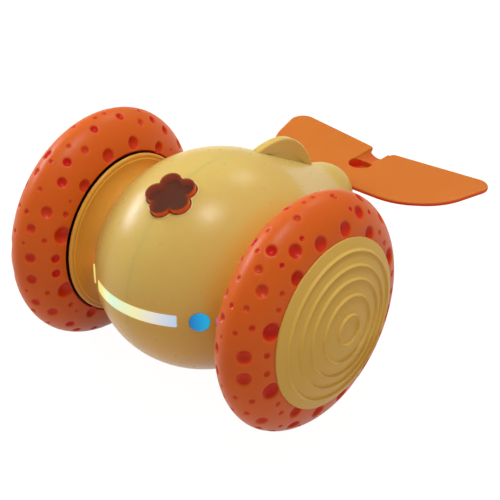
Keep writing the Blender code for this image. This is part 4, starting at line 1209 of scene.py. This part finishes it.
def build_studio():
    """Floor, world, lamps and camera."""
    scene = bpy.context.scene
    floor = bpy.data.objects.new("floor", mesh_of(
        [(-3, -3, 0), (3, -3, 0), (3, 3, 0), (-3, 3, 0)], [(0, 1, 2, 3)]))
    scene.collection.objects.link(floor)
    material, tree, shader = start_material("floor_white")
    shader.inputs["Base Color"].default_value = FLOOR_COLOR
    shader.inputs["Roughness"].default_value = 0.9
    glow = tree.nodes.new("ShaderNodeEmission")
    glow.inputs["Strength"].default_value = FLOOR_GLOW
    path = tree.nodes.new("ShaderNodeLightPath")
    seen = path.outputs["Is Camera Ray"]
    for ray in ("Is Glossy Ray", "Is Transmission Ray"):
        seen = calculated(tree, "MAXIMUM", seen, path.outputs[ray])
    blend = tree.nodes.new("ShaderNodeMixShader")
    tree.links.new(calculated(tree, "MULTIPLY", seen, FLOOR_GLOW_SHARE), blend.inputs[0])
    tree.links.new(shader.outputs[0], blend.inputs[1])
    tree.links.new(glow.outputs[0], blend.inputs[2])
    tree.links.new(blend.outputs[0], tree.nodes["Material Output"].inputs["Surface"])
    floor.data.materials.append(material)

    world = bpy.data.worlds.new("studio")
    scene.world = world
    world.use_nodes = True
    backdrop = world.node_tree.nodes["Background"]
    backdrop.inputs["Color"].default_value = WORLD_COLOR
    backdrop.inputs["Strength"].default_value = WORLD_STRENGTH

    for lamp in LAMPS:
        add_lamp(*lamp)

    camera = bpy.data.cameras.new("photo_camera")
    camera.sensor_width = 36.0
    camera.lens = CAMERA_LENS
    camera.clip_end = 20.0
    view = bpy.data.objects.new("photo_camera", camera)
    scene.collection.objects.link(view)
    level = math.cos(CAMERA_ELEVATION)
    back = Vector((math.sin(CAMERA_AZIMUTH) * level, -math.cos(CAMERA_AZIMUTH) * level,
                   math.sin(CAMERA_ELEVATION)))
    right = (-back).cross(Vector((0.0, 0.0, 1.0))).normalized()
    up = right.cross(-back)
    place = AXLE + back * CAMERA_DISTANCE + right * CAMERA_RIGHT + up * CAMERA_UP
    view.matrix_world = Matrix.Translation(place) @ Matrix((right, up, back)).transposed().to_4x4()
    scene.camera = view
    scene.view_settings.view_transform = "Standard"


def add_lamp(name, way, distance, width, height, power, color):
    """A soft lamp that looks at the toy from a direction."""
    light = bpy.data.lights.new(name, "AREA")
    light.shape = "RECTANGLE"
    light.size = width
    light.size_y = height
    light.energy = power
    light.color = color
    lamp = bpy.data.objects.new(name, light)
    bpy.context.scene.collection.objects.link(lamp)
    way = Vector(way).normalized()
    lamp.location = AXLE + way * distance
    lamp.rotation_euler = way.to_track_quat("Z", "Y").to_euler()


amber, housing = [moulded(name, (220, 197, 114), (215, 190, 106), 0.3, 0.3, FINE_GRAIN, gloss=0.24)
                  for name in ("amber_plastic", "housing_amber")]
cap_plastic = moulded("cap_amber", (224, 193, 103), (218, 186, 97), 0.42, 0.2, GRAIN, gloss=0.2)
# The housing's plastic gets painted shade: a deeper, warmer tone low on the ball and out at the
# flanges
build_shells(with_painted_bounce_shade(housing, (226, 170, 72)))
build_fin(amber)
build_lights()
# The flower's rim bead is painted pale as a highlight
build_flower(moulded("flower_rim_highlight", (240, 220, 150), (236, 214, 142), 0.3, 0.3),
             moulded("flower_red", (232, 100, 50), (220, 88, 40), 0.25, 0.4),
             # The cup's floor is painted dark for shade
             moulded("flower_floor_shade", (96, 62, 50), (132, 70, 44), 0.4), tinted("flower_tinted"))
# The tail's rubber has painted shade: deep red in the lure hole, the channel and down its side edges
build_tail(rubber_with_painted_shade("tail_orange", ((208, 120, 34), (203, 114, 30)), (222, 66, 34), 0.4, 0.25, GRAIN))
build_wheels(
    # The tyres' rubber has painted shade: deep red in the dimples, at the mouths and in the bore
    rubber_with_painted_shade("tyre_orange", ((221, 107, 34), (214, 98, 30)), (206, 14, 16), 0.4, 0.22, GRAIN),
    cap_plastic, moulded("rim_black", (22, 18, 18), (16, 13, 13), 0.55, grain=GRAIN))
dress_inside()
build_studio()
